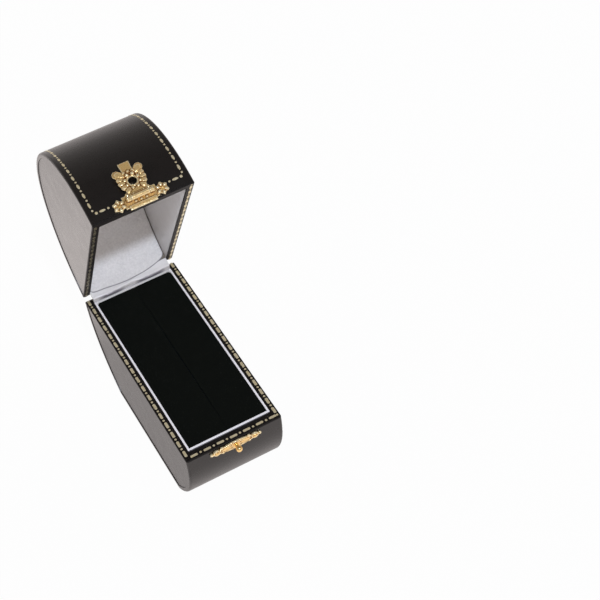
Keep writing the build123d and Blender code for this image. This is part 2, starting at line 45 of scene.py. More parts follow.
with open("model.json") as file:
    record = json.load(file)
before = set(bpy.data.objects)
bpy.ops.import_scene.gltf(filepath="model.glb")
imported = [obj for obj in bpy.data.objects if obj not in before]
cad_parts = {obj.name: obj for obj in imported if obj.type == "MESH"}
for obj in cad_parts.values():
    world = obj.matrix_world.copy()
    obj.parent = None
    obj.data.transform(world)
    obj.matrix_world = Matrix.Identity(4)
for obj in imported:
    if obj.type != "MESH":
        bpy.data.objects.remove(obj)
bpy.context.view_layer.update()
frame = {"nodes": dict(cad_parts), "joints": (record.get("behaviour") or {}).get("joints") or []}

# Real sizes, in mm, that the pieces share with the frame
drum_radius = 43.0
drum_centre = 35.0
split_height = 37.0
rim_gap = 0.3
box_width = 36.0
lining_radius = 39.3
lining_half_width = 15.28
hasp_plate_rise = 2.6
catch_plate_drop = 2.3
hasp_plate_height = split_height + hasp_plate_rise
catch_plate_height = split_height - catch_plate_drop
clasp_seat_gap = 0.1
flap_hole_distance = 5.5
flower_offset = 7.5
tooling_height = 0.035
pad_inner_x, pad_outer_x = 0.04, 14.68
pad_half_length = 38.42
pad_bottom, pad_top = 27.68, 37.12
lining_thickness = 0.68
lip_thickness = 0.3
lid_board_bottom = 37.95
strip_half_width = 15.4
strip_cloth = 0.24

# The lie of the cloth, in mm. The round lining's edges roll away from the middle over this width
lining_roll_width, lining_roll_rise = 0.45, 0.65
# The velvet's rear corners are round, and satin is gathered in them between these heights
corner_round = 1.25
gusset_foot, gusset_top = 30, 37.15
# How far the pads may swell, and how far they are spread into their corners
pad_swelling, pad_squaring = 0.3, 0.3
# The pads are blown up in metres at 20 times their size, where the cloth simulation is steady
blown_scale = 0.02
blown_frames = 20
# Faces of the satin strip, across and along
strip_columns, strip_rows = 90, 70

# The lower rear edge of the round lining, as (x, height with the lid shut): it sags over the hinge
lip_line = [
    (-15.4, 38.9), (-14.9, 37.4), (-13.6, 36.75), (-10, 36.5), (-5.9, 36.05), (-2, 35.8), (2.2, 35.95),
    (6.4, 36.3), (9.5, 36.9), (12, 37.55), (14, 38.35), (14.9, 39.4), (15.4, 40.6)]
# The satin strip over the hinge, as (y, height) from the well behind the liner up to the lid, lid open
strip_line = [
    (39.5, 31.4), (39.62, 34.2), (39.68, 36.7), (39.76, 37.6), (39.4, 38.4), (39.75, 38.94),
    (40.42, 39.24), (41.14, 39.68), (41.86, 40.18), (42.15, 40.5)]

lid_joint = next(joint for joint in frame["joints"] if joint["name"] == "lid_hinge")
hinge_place = [1000 * value for value in lid_joint["pos_m"]]
open_angle = max(lid_joint["range_deg"])
hasp_joint = next(joint for joint in frame["joints"] if joint["name"] == "hasp_hinge")
hasp_lean = radians(max(hasp_joint["range_deg"]) - 180)


def reach_at(height, radius=drum_radius):
    """How far the drum of that radius reaches in Y at a height, in mm."""
    return sqrt(radius ** 2 - (height - drum_centre) ** 2)


def opening():
    """The move that takes a piece of the lid from the shut place to the open place, in mm."""
    there = Matrix.Translation(Vector(hinge_place))
    return there @ Matrix.Rotation(radians(-open_angle), 4, "X") @ there.inverted()


def leaning_place(spot, lean):
    """A plate's own axes: X across, Y up along the plate, Z out of its front."""
    up = Vector((0, sin(lean), cos(lean)))
    out = Vector((0, -cos(lean), sin(lean)))
    return Matrix.Translation(spot) @ Matrix((Vector((1, 0, 0)), up, out)).transposed().to_4x4()


def front_place(height):
    """The plane that touches the drum's front at a height, with a plate's seat gap."""
    lean = asin((height - drum_centre) / drum_radius)
    out = Vector((0, -cos(lean), sin(lean)))
    return leaning_place(Vector((0, 0, drum_centre)) + (drum_radius + clasp_seat_gap) * out, lean)


def flap_place():
    """The folded flap's own axes from its hinge, with the lid shut."""
    axis = opening().inverted() @ (1000 * Vector(hasp_joint["pos_m"]))
    return leaning_place(axis, hasp_lean)


def to_metres():
    """Scales a mesh drawn in mm."""
    return Matrix.Scale(0.001, 4)


def linear(code):
    """The linear colour of an sRGB hex value, with alpha."""
    levels = [int(code[i:i + 2], 16) / 255 for i in (0, 2, 4)]
    return [v / 12.92 if v <= 0.04045 else ((v + 0.055) / 1.055) ** 2.4 for v in levels] + [1.0]


# Settings that a user would change
def colour_setting(name, description, code):
    """A colour property with an sRGB hex default."""
    return bpy.props.FloatVectorProperty(
        name=name, description=description, subtype="COLOR", size=3, min=0, max=1, default=linear(code)[:3])


def length_setting(name, description, default):
    """A length property, in metres."""
    return bpy.props.FloatProperty(name=name, description=description, unit="LENGTH", min=0, default=default)


def share_setting(name, description, default):
    """A property from 0 to 1."""
    return bpy.props.FloatProperty(
        name=name, description=description, subtype="FACTOR", min=0, max=1, default=default)


class BangleLeatherSettings(bpy.types.PropertyGroup):
    """Black leatherette over the boards"""
    colour: colour_setting("Colour", "Colour of the leatherette", "120F0E")
    high_colour: colour_setting("Grain tops", "Colour where the grain is rubbed", "1E1A18")
    grain: length_setting("Grain", "Width of one pebble of the grain", 0.00042)
    grain_depth: length_setting("Grain depth", "Depth of the valleys between pebbles", 0.000012)
    roughness: share_setting("Roughness", "Roughness of the finish", 0.27)


class BangleGiltSettings(bpy.types.PropertyGroup):
    """Gold foil tooling"""
    colour: colour_setting("Foil", "Colour of the foil", "FFF9DA")
    deep_colour: colour_setting("Thin foil", "Colour where the foil is thin", "EED9A4")
    lid_pitch: length_setting("Lid pitch", "Distance from dot to dot on the lid", 0.00417)
    rim_pitch: length_setting("Rim pitch", "Distance from dot to dot on the rims", 0.0047)
    roughness: share_setting("Roughness", "Roughness of the foil", 0.36)


class BangleSatinSettings(bpy.types.PropertyGroup):
    """White satin"""
    colour: colour_setting("Colour", "Colour of the satin", "F4F2F1")
    thread: length_setting("Thread", "Spacing of the drawn threads", 0.00022)
    crinkle: length_setting("Crinkle", "Depth of the puckers where the satin is glued down", 0.0005)
    roughness: share_setting("Roughness", "Roughness of the weave", 0.42)


class BangleVelvetSettings(bpy.types.PropertyGroup):
    """Black velvet"""
    colour: colour_setting("Colour", "Colour of the pile", "161916")
    sheen_colour: colour_setting("Sheen", "Colour of the pile seen from the side", "2C3850")
    pile: length_setting("Pile", "Width of a tuft of the pile", 0.00035)


class BangleBrassSettings(bpy.types.PropertyGroup):
    """Pressed and gilt brass"""
    colour: colour_setting("Colour", "Colour of the gilt brass", "FFE494")
    deep_colour: colour_setting("Hollows", "Colour in the hollows of the relief", "7C4A1E")
    roughness: share_setting("Roughness", "Roughness of the brass", 0.26)


class BangleStageSettings(bpy.types.PropertyGroup):
    """Camera, floor and light"""
    key_strength: bpy.props.FloatProperty(
        name="Key light", description="Strength of the key light from the front", min=0, default=1.2)
    key_width: bpy.props.FloatProperty(
        name="Key width", description="Angle that the key light spans", subtype="ANGLE", default=radians(3.5))
    floor_glow: share_setting("Floor glow", "Share of the floor that shows pure white", 0.97)


# Node and material helpers
def add_node(tree, kind, settings=None, inputs=None):
    """Adds a node to a material's tree with its settings, and its inputs as values or as links."""
    made = tree.nodes.new("ShaderNode" + kind)
    for name, value in (settings or {}).items():
        setattr(made, name, value)
    for name, value in (inputs or {}).items():
        if isinstance(value, bpy.types.NodeSocket):
            tree.links.new(value, made.inputs[name])
        else:
            made.inputs[name].default_value = value
    return made


def noise_of(tree, place, width, detail, roughness=0.5):
    """A noise with spots of about that width, in metres."""
    made = add_node(tree, "TexNoise", None, {
        "Vector": place, "Scale": 1 / width, "Detail": detail, "Roughness": roughness})
    return made.outputs["Fac"]


def pebbles_of(tree, place, width, smoothness, randomness=1.0):
    """Soft pebbles of that width, in metres, as the distance from their middles."""
    made = add_node(tree, "TexVoronoi", {"feature": "SMOOTH_F1"}, {
        "Vector": place, "Scale": 1 / width, "Smoothness": smoothness, "Randomness": randomness})
    return made.outputs["Distance"]


def spread(tree, value, low, high, start, end):
    """A value whose range from low to high is laid over the range from start to end."""
    made = add_node(tree, "MapRange", None, {
        "Value": value, "From Min": low, "From Max": high, "To Min": start, "To Max": end})
    return made.outputs["Result"]


def mixed(tree, share, first, second, way="MIX"):
    """The first colour, mixed with the second by a share from 0 to 1."""
    made = add_node(tree, "Mix", {"data_type": "RGBA", "blend_type": way}, {0: share, 6: first, 7: second})
    return made.outputs[2]


def worked_out(tree, operation, first, second):
    """One number worked out from two."""
    return add_node(tree, "Math", {"operation": operation}, {0: first, 1: second}).outputs[0]


def bumped(tree, height, strength, depth, under=None, invert=False):
    """The normal of a relief of that depth, in metres, laid over the one under it."""
    inputs = {"Height": height, "Strength": strength, "Distance": depth}
    if under is not None:
        inputs["Normal"] = under
    return add_node(tree, "Bump", {"invert": invert}, inputs).outputs[0]


def ramp_of(tree, value, stops):
    """A value's colour on a ramp with stops from (place, hex colour) pairs."""
    ramp = add_node(tree, "ValToRGB", None, {"Fac": value})
    elements = ramp.color_ramp.elements
    while len(elements) < len(stops):
        elements.new(0.5)
    for element, (place, code) in zip(elements, stops):
        element.position = place
        element.color = linear(code)
    return ramp.outputs[0]


def new_material(name):
    """An empty node material with its tree and its Object coordinates."""
    material = bpy.data.materials.new(name)
    material.use_nodes = True
    tree = material.node_tree
    tree.nodes.clear()
    place = add_node(tree, "TexCoord").outputs["Object"]
    return material, tree, place


def close_material(tree, shader):
    """Joins the shader to the output."""
    add_node(tree, "OutputMaterial", inputs={"Surface": shader.outputs[0]})


def surfaced(material, tree, inputs):
    """Closes a material with a principled shader that has those inputs."""
    close_material(tree, add_node(tree, "BsdfPrincipled", None, inputs))
    return material


# Leatherette is paper-backed vinyl embossed with a fine calf grain and rolled to a low gloss: near
# black, with a grey veil where it is seen at a low angle.
def leather_material(settings, name, roughness, specular):
    material, tree, place = new_material(name)
    pebble = pebbles_of(tree, place, settings.grain, 0.35, 0.9)
    # Pores between the pebbles, a third of a pebble wide
    pore = noise_of(tree, place, settings.grain / 3, 3.0)
    # The board under the leatherette is never quite flat: swells about 9 mm wide
    swell = noise_of(tree, place, 0.009, 2.0)
    rub = noise_of(tree, place, 0.004, 5.0, 0.6)
    normal = bumped(tree, swell, 0.5, 0.00002)
    normal = bumped(tree, pore, 0.5, 0.4 * settings.grain_depth, normal)
    normal = bumped(tree, pebble, 0.8, settings.grain_depth, normal, True)
    return surfaced(material, tree, {
        "Base Color": mixed(tree, rub, [*settings.colour, 1], [*settings.high_colour, 1]),
        "Roughness": spread(tree, rub, 0.3, 0.7, roughness - 0.01, roughness + 0.025),
        "IOR": 1.5, "Specular IOR Level": specular, "Normal": normal})


# Gold foil is stamped hot into the leather, so it follows the grain, is thin in places and has
# small skips.
def gilt_material(settings, leather, name, metallic, extra_skips=0.0):
    material, tree, place = new_material(name)
    wear = noise_of(tree, place, 0.0005, 4.0, 0.65)
    skip = add_node(tree, "ValToRGB", None, {"Fac": wear})
    # A larger shift skips more of the foil, so more leather shows
    skip.color_ramp.elements[0].position = 0.27 + extra_skips
    skip.color_ramp.elements[1].position = 0.36 + extra_skips
    thin = noise_of(tree, place, 0.0012, 2.0)
    foil = mixed(tree, thin, [*settings.deep_colour, 1], [*settings.colour, 1])
    pebble = pebbles_of(tree, place, leather.grain, 0.5, 0.9)
    return surfaced(material, tree, {
        "Base Color": mixed(tree, skip.outputs[0], [*leather.colour, 1], foil),
        "Metallic": worked_out(tree, "MULTIPLY", skip.outputs[0], metallic),
        "Roughness": settings.roughness, "Normal": bumped(tree, pebble, 1.0, 0.00003, None, True)})


# Acetate satin has long floats that lie one way, so it is bright, cool white and a little silky.
# It is glued to card, which leaves fine puckers.
def satin_material(settings, name, crinkle, roughness):
    material, tree, place = new_material(name)
    # The real threads are about 0.1 mm apart, too fine to show, so they are drawn twice as coarse
    threads = add_node(tree, "TexWave", {"wave_type": "BANDS", "bands_direction": "X"}, {
        "Vector": place, "Scale": 0.314 / settings.thread, "Distortion": 1.5, "Detail": 2.0})
    pucker = noise_of(tree, place, 0.0014, 3.0, 0.6)
    normal = bumped(tree, pucker, 1.0, crinkle)
    normal = bumped(tree, threads.outputs["Fac"], 0.3, 0.000008, normal)
    shade = spread(tree, noise_of(tree, place, 0.006, 2.0), 0.3, 0.7, 0.94, 1.0)
    # The sides of the puckers turn from the light, and that shade is painted into the colour as a mottle: 2.6
    # % for 0.1 mm
    fine = noise_of(tree, place, 0.0008, 4.0, 0.7)
    painted_pucker_shade = spread(tree, fine, 0.35, 0.65, 1.0 - 260 * crinkle, 1.0)
    tone_and_painted_shade = worked_out(tree, "MULTIPLY", shade, painted_pucker_shade)
    tone = mixed(tree, 1.0, [*settings.colour, 1], tone_and_painted_shade, "MULTIPLY")
    # Folds, glued seams and the lining's edges get a painted shade: the colour turns grey where a point
    # attribute says so
    painted_shade = add_node(tree, "Attribute", {"attribute_name": "painted_shade"})
    return surfaced(material, tree, {
        "Base Color": mixed(tree, painted_shade.outputs["Fac"], tone, linear("6E6A72")),
        "Roughness": roughness, "IOR": 1.5, "Sheen Weight": 0.15, "Sheen Roughness": 0.35,
        "Normal": normal})


# The liner cards are covered in white satin paper. A faint violet painted glow makes them whiter than white,
# and below the rim's top they are painted grey as shade, with no glow.
def liner_material():
    material, tree, place = new_material("white_satin_paper")
    weave = noise_of(tree, place, 0.0006, 3.0)
    height = add_node(tree, "SeparateXYZ", None, {0: place})
    # 1 above the rim's top and 0 below it: the mask for the painted glow and the painted shade
    painted_light_mask = spread(tree, height.outputs["Z"], 0.03695, 0.03725, 0.0, 1.0)
    return surfaced(material, tree, {
        "Base Color": mixed(tree, painted_light_mask, linear("8A868C"), linear("FBFBFF")),
        "Roughness": 0.35, "Normal": bumped(tree, weave, 0.3, 0.00002),
        "Emission Color": linear("F3F1FB"), "Emission Strength": worked_out(tree, "MULTIPLY", painted_light_mask, 0.14)})


# Nylon velvet swallows light from above and shows a cold sheen where the pile is seen from the side.
def velvet_material(settings):
    material, tree, place = new_material("black_nylon_velvet")
    tuft = noise_of(tree, place, settings.pile, 3.0)
    stroke = noise_of(tree, place, 0.007, 3.0, 0.6)
    normal = bumped(tree, stroke, 0.6, 0.0004)
    return surfaced(material, tree, {
        "Base Color": mixed(tree, tuft, linear("0C0F0C"), [*settings.colour, 1]),
        "Roughness": 0.95, "IOR": 1.35, "Specular IOR Level": 0.1,
        "Sheen Weight": 0.28, "Sheen Roughness": 0.3, "Sheen Tint": [*settings.sheen_colour, 1],
        "Normal": bumped(tree, tuft, 0.8, 0.00012, normal)})


# Thin brass sheet, pressed with a relief and gilt: warm, rubbed bright on its ridges with a painted highlight
# of near-white cream laid on them, and brown where tarnish stays in the hollows.
def brass_material(settings, name, stipple, metallic, roughness, ridge_highlight=0.0):
    material, tree, place = new_material(name)
    hammer = pebbles_of(tree, place, 0.0006, 0.4)
    patina = noise_of(tree, place, 0.0011, 3.0)
    tarnish = mixed(tree, patina, linear("F0BC80"), [*settings.colour, 1])
    hollow = add_node(tree, "Attribute", {"attribute_name": "hollow"}).outputs["Fac"]
    depth = spread(tree, hollow, 0.54, 0.85, 0.0, 1.0)
    # The ridges carry a painted highlight, a near-white cream
    painted_ridge_highlight = spread(tree, hollow, 0.1, 0.38, ridge_highlight, 0.0)
    tone = mixed(tree, painted_ridge_highlight, tarnish, linear("FFF1C6"))
    return surfaced(material, tree, {
        "Base Color": mixed(tree, depth, tone, [*settings.deep_colour, 1]), "Metallic": metallic,
        "Roughness": spread(tree, patina, 0.3, 0.7, roughness + 0.06, roughness - 0.04),
        "Normal": bumped(tree, hammer, 1.0, stipple, None, True)})


def fibre_material(name, width, detail, rough, stops, relief, shine):
    """A plain material whose colour and relief follow one noise: board, paper or blackened metal."""
    material, tree, place = new_material(name)
    fibre = noise_of(tree, place, width, detail, rough)
    strength, depth = relief
    metallic, roughness = shine
    return surfaced(material, tree, {
        "Base Color": ramp_of(tree, fibre, stops), "Metallic": metallic, "Roughness": roughness,
        "Normal": bumped(tree, fibre, strength, depth)})


# The hidden hinge is brass, oxidised black so that it doesn't show in the gap.
def black_brass_material():
    stops = [(0.35, "1A1613"), (0.75, "3A2E22")]
    return fibre_material("brass_oxidised_black", 0.0008, 3.0, 0.5, stops, (0.4, 0.00002), (0.3, 0.5))


# Grey millboard of pressed waste paper, with fibres and flecks.
def board_material():
    stops = [(0.3, "6E665C"), (0.75, "9A9186")]
    return fibre_material("grey_millboard", 0.0006, 6.0, 0.7, stops, (0.5, 0.00005), (0.0, 0.9))


# Embossed black paper under the foot.
def sole_material():
    stops = [(0.35, "141312"), (0.7, "262423")]
    return fibre_material("black_embossed_paper", 0.0004, 5.0, 0.5, stops, (0.6, 0.00004), (0.0, 0.7))


# Polyether foam under the velvet, with open cells.
def foam_material():
    material, tree, place = new_material("polyether_foam")
    cell = add_node(tree, "TexVoronoi", {"feature": "F1"}, {"Vector": place, "Scale": 1 / 0.0007})
    cell = cell.outputs["Distance"]
    return surfaced(material, tree, {
        "Base Color": ramp_of(tree, cell, [(0.1, "D8D2BE"), (0.8, "8F8972")]), "Roughness": 0.95,
        "Normal": bumped(tree, cell, 0.8, 0.0002, None, True)})


# Each material is made once, and kept here by name
made_materials = {}


def material_of(context, name):
    """The material of that name, made the first time it is asked for."""
    scene = context.scene
    leather, gilt, satin = scene.bangle_leather, scene.bangle_gilt, scene.bangle_satin
    brass = scene.bangle_brass
    makers = {
        "leather": lambda: leather_material(leather, "black_leatherette_calf_grain", leather.roughness, 0.5),
        "rim_leather": lambda: leather_material(leather, "black_leatherette_matte_turn_in", 0.5, 0.18),
        "gilt": lambda: gilt_material(gilt, leather, "gold_foil_on_grain", 0.5),
        "bright_gilt": lambda: gilt_material(gilt, leather, "gold_foil_burnished", 0.95),
        "sparse_gilt": lambda: gilt_material(gilt, leather, "gold_foil_sparse", 0.95, 0.22),
        "satin": lambda: satin_material(satin, "white_satin_on_card", satin.crinkle, satin.roughness),
        "smooth_satin": lambda: satin_material(satin, "white_satin_loose", 0.15 * satin.crinkle, 0.27),
        "liner": liner_material,
        "velvet": lambda: velvet_material(scene.bangle_velvet),
        "brass": lambda: brass_material(brass, "gilt_brass_pressed", 0.00005, 0.55, brass.roughness, 0.9),
        "turned_brass": lambda: brass_material(brass, "gilt_brass_turned", 0.000008, 0.85, 0.22),
        "black_brass": black_brass_material,
        "board": board_material,
        "foam": foam_material,
        "sole": sole_material,
    }
    if name not in made_materials:
        made_materials[name] = makers[name]()
    return made_materials[name]


def dress(context, names, material):
    """Gives CAD nodes a procedural material in every slot."""
    for name in names:
        mesh = frame["nodes"][name].data
        finish = material_of(context, material)
        if not mesh.materials:
            mesh.materials.append(finish)
        for index in range(len(mesh.materials)):
            mesh.materials[index] = finish


# Modelling helpers
def pick_only(piece):
    """Selects one object and makes it active."""
    bpy.ops.object.select_all(action="DESELECT")
    piece.select_set(True)
    bpy.context.view_layer.objects.active = piece


def added(name):
    """Names the primitive that was just added."""
    piece = bpy.context.view_layer.objects.active
    piece.name = name
    piece.data.name = name
    return piece


def primitive(add, name, **settings):
    """Adds a primitive with its settings, and names it."""
    bpy.ops.object.select_all(action="DESELECT")
    add(**settings)
    return added(name)


def apply_moves():
    """Puts the move, turn and size of what is selected into its mesh."""
    bpy.ops.object.transform_apply(location=True, rotation=True, scale=True)


def edit_mesh(piece):
    """Goes into edit mode with nothing selected and returns the edit mesh."""
    pick_only(piece)
    bpy.ops.object.mode_set(mode="EDIT")
    bpy.ops.mesh.select_mode(type="FACE")
    bpy.ops.mesh.select_all(action="DESELECT")
    return bmesh.from_edit_mesh(piece.data)


def select_faces(piece, wanted):
    """Selects the faces of the edit mesh that the test wants."""
    mesh = bmesh.from_edit_mesh(piece.data)
    for face in mesh.faces:
        face.select_set(bool(wanted(face)))
    mesh.select_flush_mode()
    bmesh.update_edit_mesh(piece.data)


def select_edges(piece, wanted):
    """Selects the edges of the edit mesh that the test wants."""
    bpy.ops.mesh.select_mode(type="EDGE")
    mesh = bmesh.from_edit_mesh(piece.data)
    for edge in mesh.edges:
        edge.select_set(bool(wanted(edge)))
    mesh.select_flush_mode()
    bmesh.update_edit_mesh(piece.data)


def leave_edit():
    """Back to object mode."""
    bpy.ops.object.mode_set(mode="OBJECT")


def modify(piece, kind, **settings):
    """Adds a modifier with its settings and applies it."""
    pick_only(piece)
    modifier = piece.modifiers.new(kind.lower(), kind)
    for name, value in settings.items():
        setattr(modifier, name, value)
    bpy.ops.object.modifier_apply(modifier=modifier.name)


def put(piece, move):
    """Moves a finished piece, drawn in mm, and leaves its object at the origin in metres."""
    pick_only(piece)
    piece.matrix_world = to_metres() @ move @ piece.matrix_world
    apply_moves()


def joined(pieces, name):
    """Joins pieces into one object."""
    bpy.ops.object.select_all(action="DESELECT")
    for piece in pieces:
        piece.select_set(True)
    bpy.context.view_layer.objects.active = pieces[0]
    if len(pieces) > 1:
        bpy.ops.object.join()
    return added(name)


def copied(piece, move):
    """A copy of a piece with its own mesh, moved in mm."""
    twin = piece.copy()
    twin.data = piece.data.copy()
    bpy.context.scene.collection.objects.link(twin)
    twin.matrix_world = move @ piece.matrix_world
    return twin


def smooth(piece, angle=35):
    """Smooth shading up to an angle."""
    pick_only(piece)
    bpy.ops.object.shade_smooth_by_angle(angle=radians(angle))


def finished(piece, body, material, replaces=()):
    """Gives a piece its body and its material, and hides the CAD nodes that it replaces."""
    piece.data.materials.clear()
    piece.data.materials.append(material)
    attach(piece, body)
    if replaces:
        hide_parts(*replaces)
    return piece


def node_copy(name):
    """A copy of a CAD node to build on, with its split vertices joined again."""
    node = frame["nodes"][name]
    twin = node.copy()
    twin.data = node.data.copy()
    twin.parent = None
    bpy.context.scene.collection.objects.link(twin)
    twin.matrix_world = node.matrix_world.copy()
    pick_only(twin)
    apply_moves()
    bpy.ops.object.mode_set(mode="EDIT")
    bpy.ops.mesh.select_all(action="SELECT")
    bpy.ops.mesh.customdata_custom_splitnormals_clear()
    bpy.ops.mesh.remove_doubles(threshold=0.000002)
    leave_edit()
    return twin


def note(piece, name, values):
    """Keeps a number from 0 to 1 on each point of a mesh, for a material to read."""
    kept = piece.data.attributes.new(name, "FLOAT", "POINT")
    for item, value in zip(kept.data, values):
        item.value = min(max(value, 0), 1)


def note_hollows(piece):
    """Notes how hollow a relief is at each point: low on ridges, high in hollows."""
    # A point that lies 5 micrometres under its neighbours counts as nearly a full hollow
    full_scale = 90000
    mesh = bmesh.new()
    mesh.from_mesh(piece.data)
    mesh.normal_update()
    rings = [[edge.other_vert(vertex).index for edge in vertex.link_edges] for vertex in mesh.verts]
    places = [vertex.co.copy() for vertex in mesh.verts]
    normals = [vertex.normal.copy() for vertex in mesh.verts]
    mesh.free()
    bends = []
    for ring, place, normal in zip(rings, places, normals):
        middle = sum((places[other] for other in ring), Vector()) / max(len(ring), 1)
        bends.append((middle - place).dot(normal))
    for _ in range(4):
        bends = [(bend + sum(bends[other] for other in ring)) / (1 + len(ring))
                 for ring, bend in zip(rings, bends)]
    note(piece, "hollow", [0.5 + full_scale * bend for bend in bends])


def through(points, place):
    """The height at a place of a smooth line through (place, height) points."""
    last = len(points) - 1
    step = 0
    while step < last - 1 and place > points[step + 1][0]:
        step += 1

    def slope(number):
        """The line's slope at one of its points."""
        before, after = points[max(number - 1, 0)], points[min(number + 1, last)]
        return (after[1] - before[1]) / (after[0] - before[0])

    (left, low), (right, high) = points[step], points[step + 1]
    run = right - left
    t = min(max((place - left) / run, 0), 1)
    blend = t * t * (3 - 2 * t)
    bend = run * t * (1 - t) * ((1 - t) * slope(step) - t * slope(step + 1))
    return low + (high - low) * blend + bend


def shaped_grid(columns, rows, name, shape):
    """A grid of faces whose points, from 0 to 1 each way, are moved to the places that shape gives, in mm."""
    grid = primitive(
        bpy.ops.mesh.primitive_grid_add, name, x_subdivisions=columns, y_subdivisions=rows, size=1)
    mesh = edit_mesh(grid)
    for vertex in mesh.verts:
        vertex.co = shape(vertex.co.x + 0.5, vertex.co.y + 0.5)
    bmesh.update_edit_mesh(grid.data)
    leave_edit()
    return grid


def outward(piece):
    """Turns every face's normal outward."""
    pick_only(piece)
    bpy.ops.object.mode_set(mode="EDIT")
    bpy.ops.mesh.select_all(action="SELECT")
    bpy.ops.mesh.normals_make_consistent(inside=False)
    leave_edit()


# Satin and velvet
def round_lining():
    """The padded satin round the lid, with its lip over the hinge and rolled edges at the cheeks."""
    front = pi - asin((lid_board_bottom - drum_centre) / lining_radius)

    def inner(across, along):
        """A point of the inside face, with the lid shut."""
        x = sin(pi * (across - 0.5)) * lining_half_width
        rear = asin((through(lip_line, x) - drum_centre) / lining_radius)
        # The rows lie closer together near the lip, and the edges roll away at the cheeks
        angle = rear + (front - rear) * along ** 1.8
        edge = max(abs(x) - lining_half_width + lining_roll_width, 0) / lining_roll_width
        uneven = 0.03 * noise.noise(Vector((x, 40 * angle, 3)) * 0.35)
        radius = lining_radius + lining_roll_rise * edge ** 2 + uneven
        return Vector((x, radius * cos(angle), drum_centre + radius * sin(angle)))

    lining = shaped_grid(70, 130, "lid_round_lining_satin", inner)
    full = lining.vertex_groups.new(name="full_thickness")
    shade_width = 0.3
    painted_shades = []
    for vertex in lining.data.vertices:
        x, y, z = vertex.co
        lip = y > 0 and z < lid_board_bottom + 0.3
        full.add([vertex.index], lip_thickness / lining_thickness if lip else 1.0, "REPLACE")
        # The lip's edge and the side edges get a painted shade line, which the satin's colour reads
        seam = 1.3 - (z - through(lip_line, x)) / shade_width if y > 0 else 0
        side = (abs(x) - lining_half_width + shade_width) / shade_width
        painted_shades.append(max(0.9 * min(seam, 1), 0.9 * side))
    note(lining, "painted_shade", painted_shades)
    put(lining, opening())
    modify(lining, "SOLIDIFY", thickness=0.001 * lining_thickness, offset=-1, vertex_group="full_thickness",
           use_even_offset=False)
    outward(lining)
    smooth(lining, 60)
    return lining


def fold_depth(x):
    """How deep the strip's fold is, from 0 to 1: two long hollows with a puffed ridge between them."""
    left = max(1 - ((x + 8.2) / 5.6) ** 2, 0)
    right = max(1 - ((x - 7.4) / 6.2) ** 2, 0)
    return 0.75 * left + right


def hinge_strip():
    """The loose satin strip over the hinge, folded once above the liner."""
    last = len(strip_line) - 1
    depths = [(number, y) for number, (y, z) in enumerate(strip_line)]
    heights = [(number, z) for number, (y, z) in enumerate(strip_line)]

    def cloth(across, along):
        """A point of the strip's middle, with the lid open. The rows count the points of strip_line."""
        x = (2 * across - 1) * strip_half_width
        row = along * last
        fold = fold_depth(x)
        near_fold = max(1 - abs(row - 3.0), 0)
        near_roll = max(1 - abs(row - 4.1) / 1.2, 0)
        free = min(max((row - 2.2) / 1.5, 0), 1) * min(max((last - row) / 2.0, 0), 1)
        crumple = noise.noise(Vector((0.45 * x, 1.3 * row, 1.7)))
        crumple = crumple + 0.5 * noise.noise(Vector((1.3 * x, 2.1 * row, 5.1)))
        # A puffed pleat between the two hollows, which catches the light on its left
        pleat_x = x - 0.4 - 0.9 * (row - 5)
        crumple += 2.4 * max(1 - (pleat_x / 1.7) ** 2, 0) * max(1 - abs(row - 5.4) / 1.6, 0)
        y = through(depths, row) + 0.12 * fold * near_fold
        y = y - (0.75 * fold - 0.1) * near_roll + 0.11 * free * crumple
        z = through(heights, row) + 0.1 * free * crumple - 0.12 * fold * near_roll
        return Vector((x, y, z))

    strip = shaped_grid(strip_columns, strip_rows, "satin_hinge_strip_folded", cloth)
    painted_shades = []
    for number in range(len(strip.data.vertices)):
        step, column = divmod(number, strip_columns + 1)
        row = step * last / strip_rows
        x = (2 * column / strip_columns - 1) * strip_half_width
        # Painted shade, which the satin's colour reads: the hollow under the roll, and the line where the
        # lining's lip lies on the strip
        hollow = min(1.1 * fold_depth(x) + 0.25, 0.9) * min(max((4.75 - row) / 0.35, 0), 1)
        lip_row = 6.9 + 1.1 * (through(lip_line, x) - 35.9)
        painted_shades.append(max(hollow, 0.7 * min(max(1 - (lip_row - row) / 0.7, 0), 1)))
    note(strip, "painted_shade", painted_shades)
    put(strip, Matrix.Identity(4))
    modify(strip, "SOLIDIFY", thickness=0.001 * strip_cloth, offset=0, use_even_offset=False)
    outward(strip)
    smooth(strip, 60)
    length = sum((Vector(strip_line[n + 1]) - Vector(strip_line[n])).length for n in range(last))
    return strip, 1.02 * length


def bevelled_card(node, name, width):
    """A covered card: the CAD card with its edges rolled over."""
    card = node_copy(node)
    card.name = name
    modify(card, "BEVEL", width=0.001 * width, segments=3, limit_method="ANGLE", angle_limit=radians(40))
    smooth(card, 40)
    return card


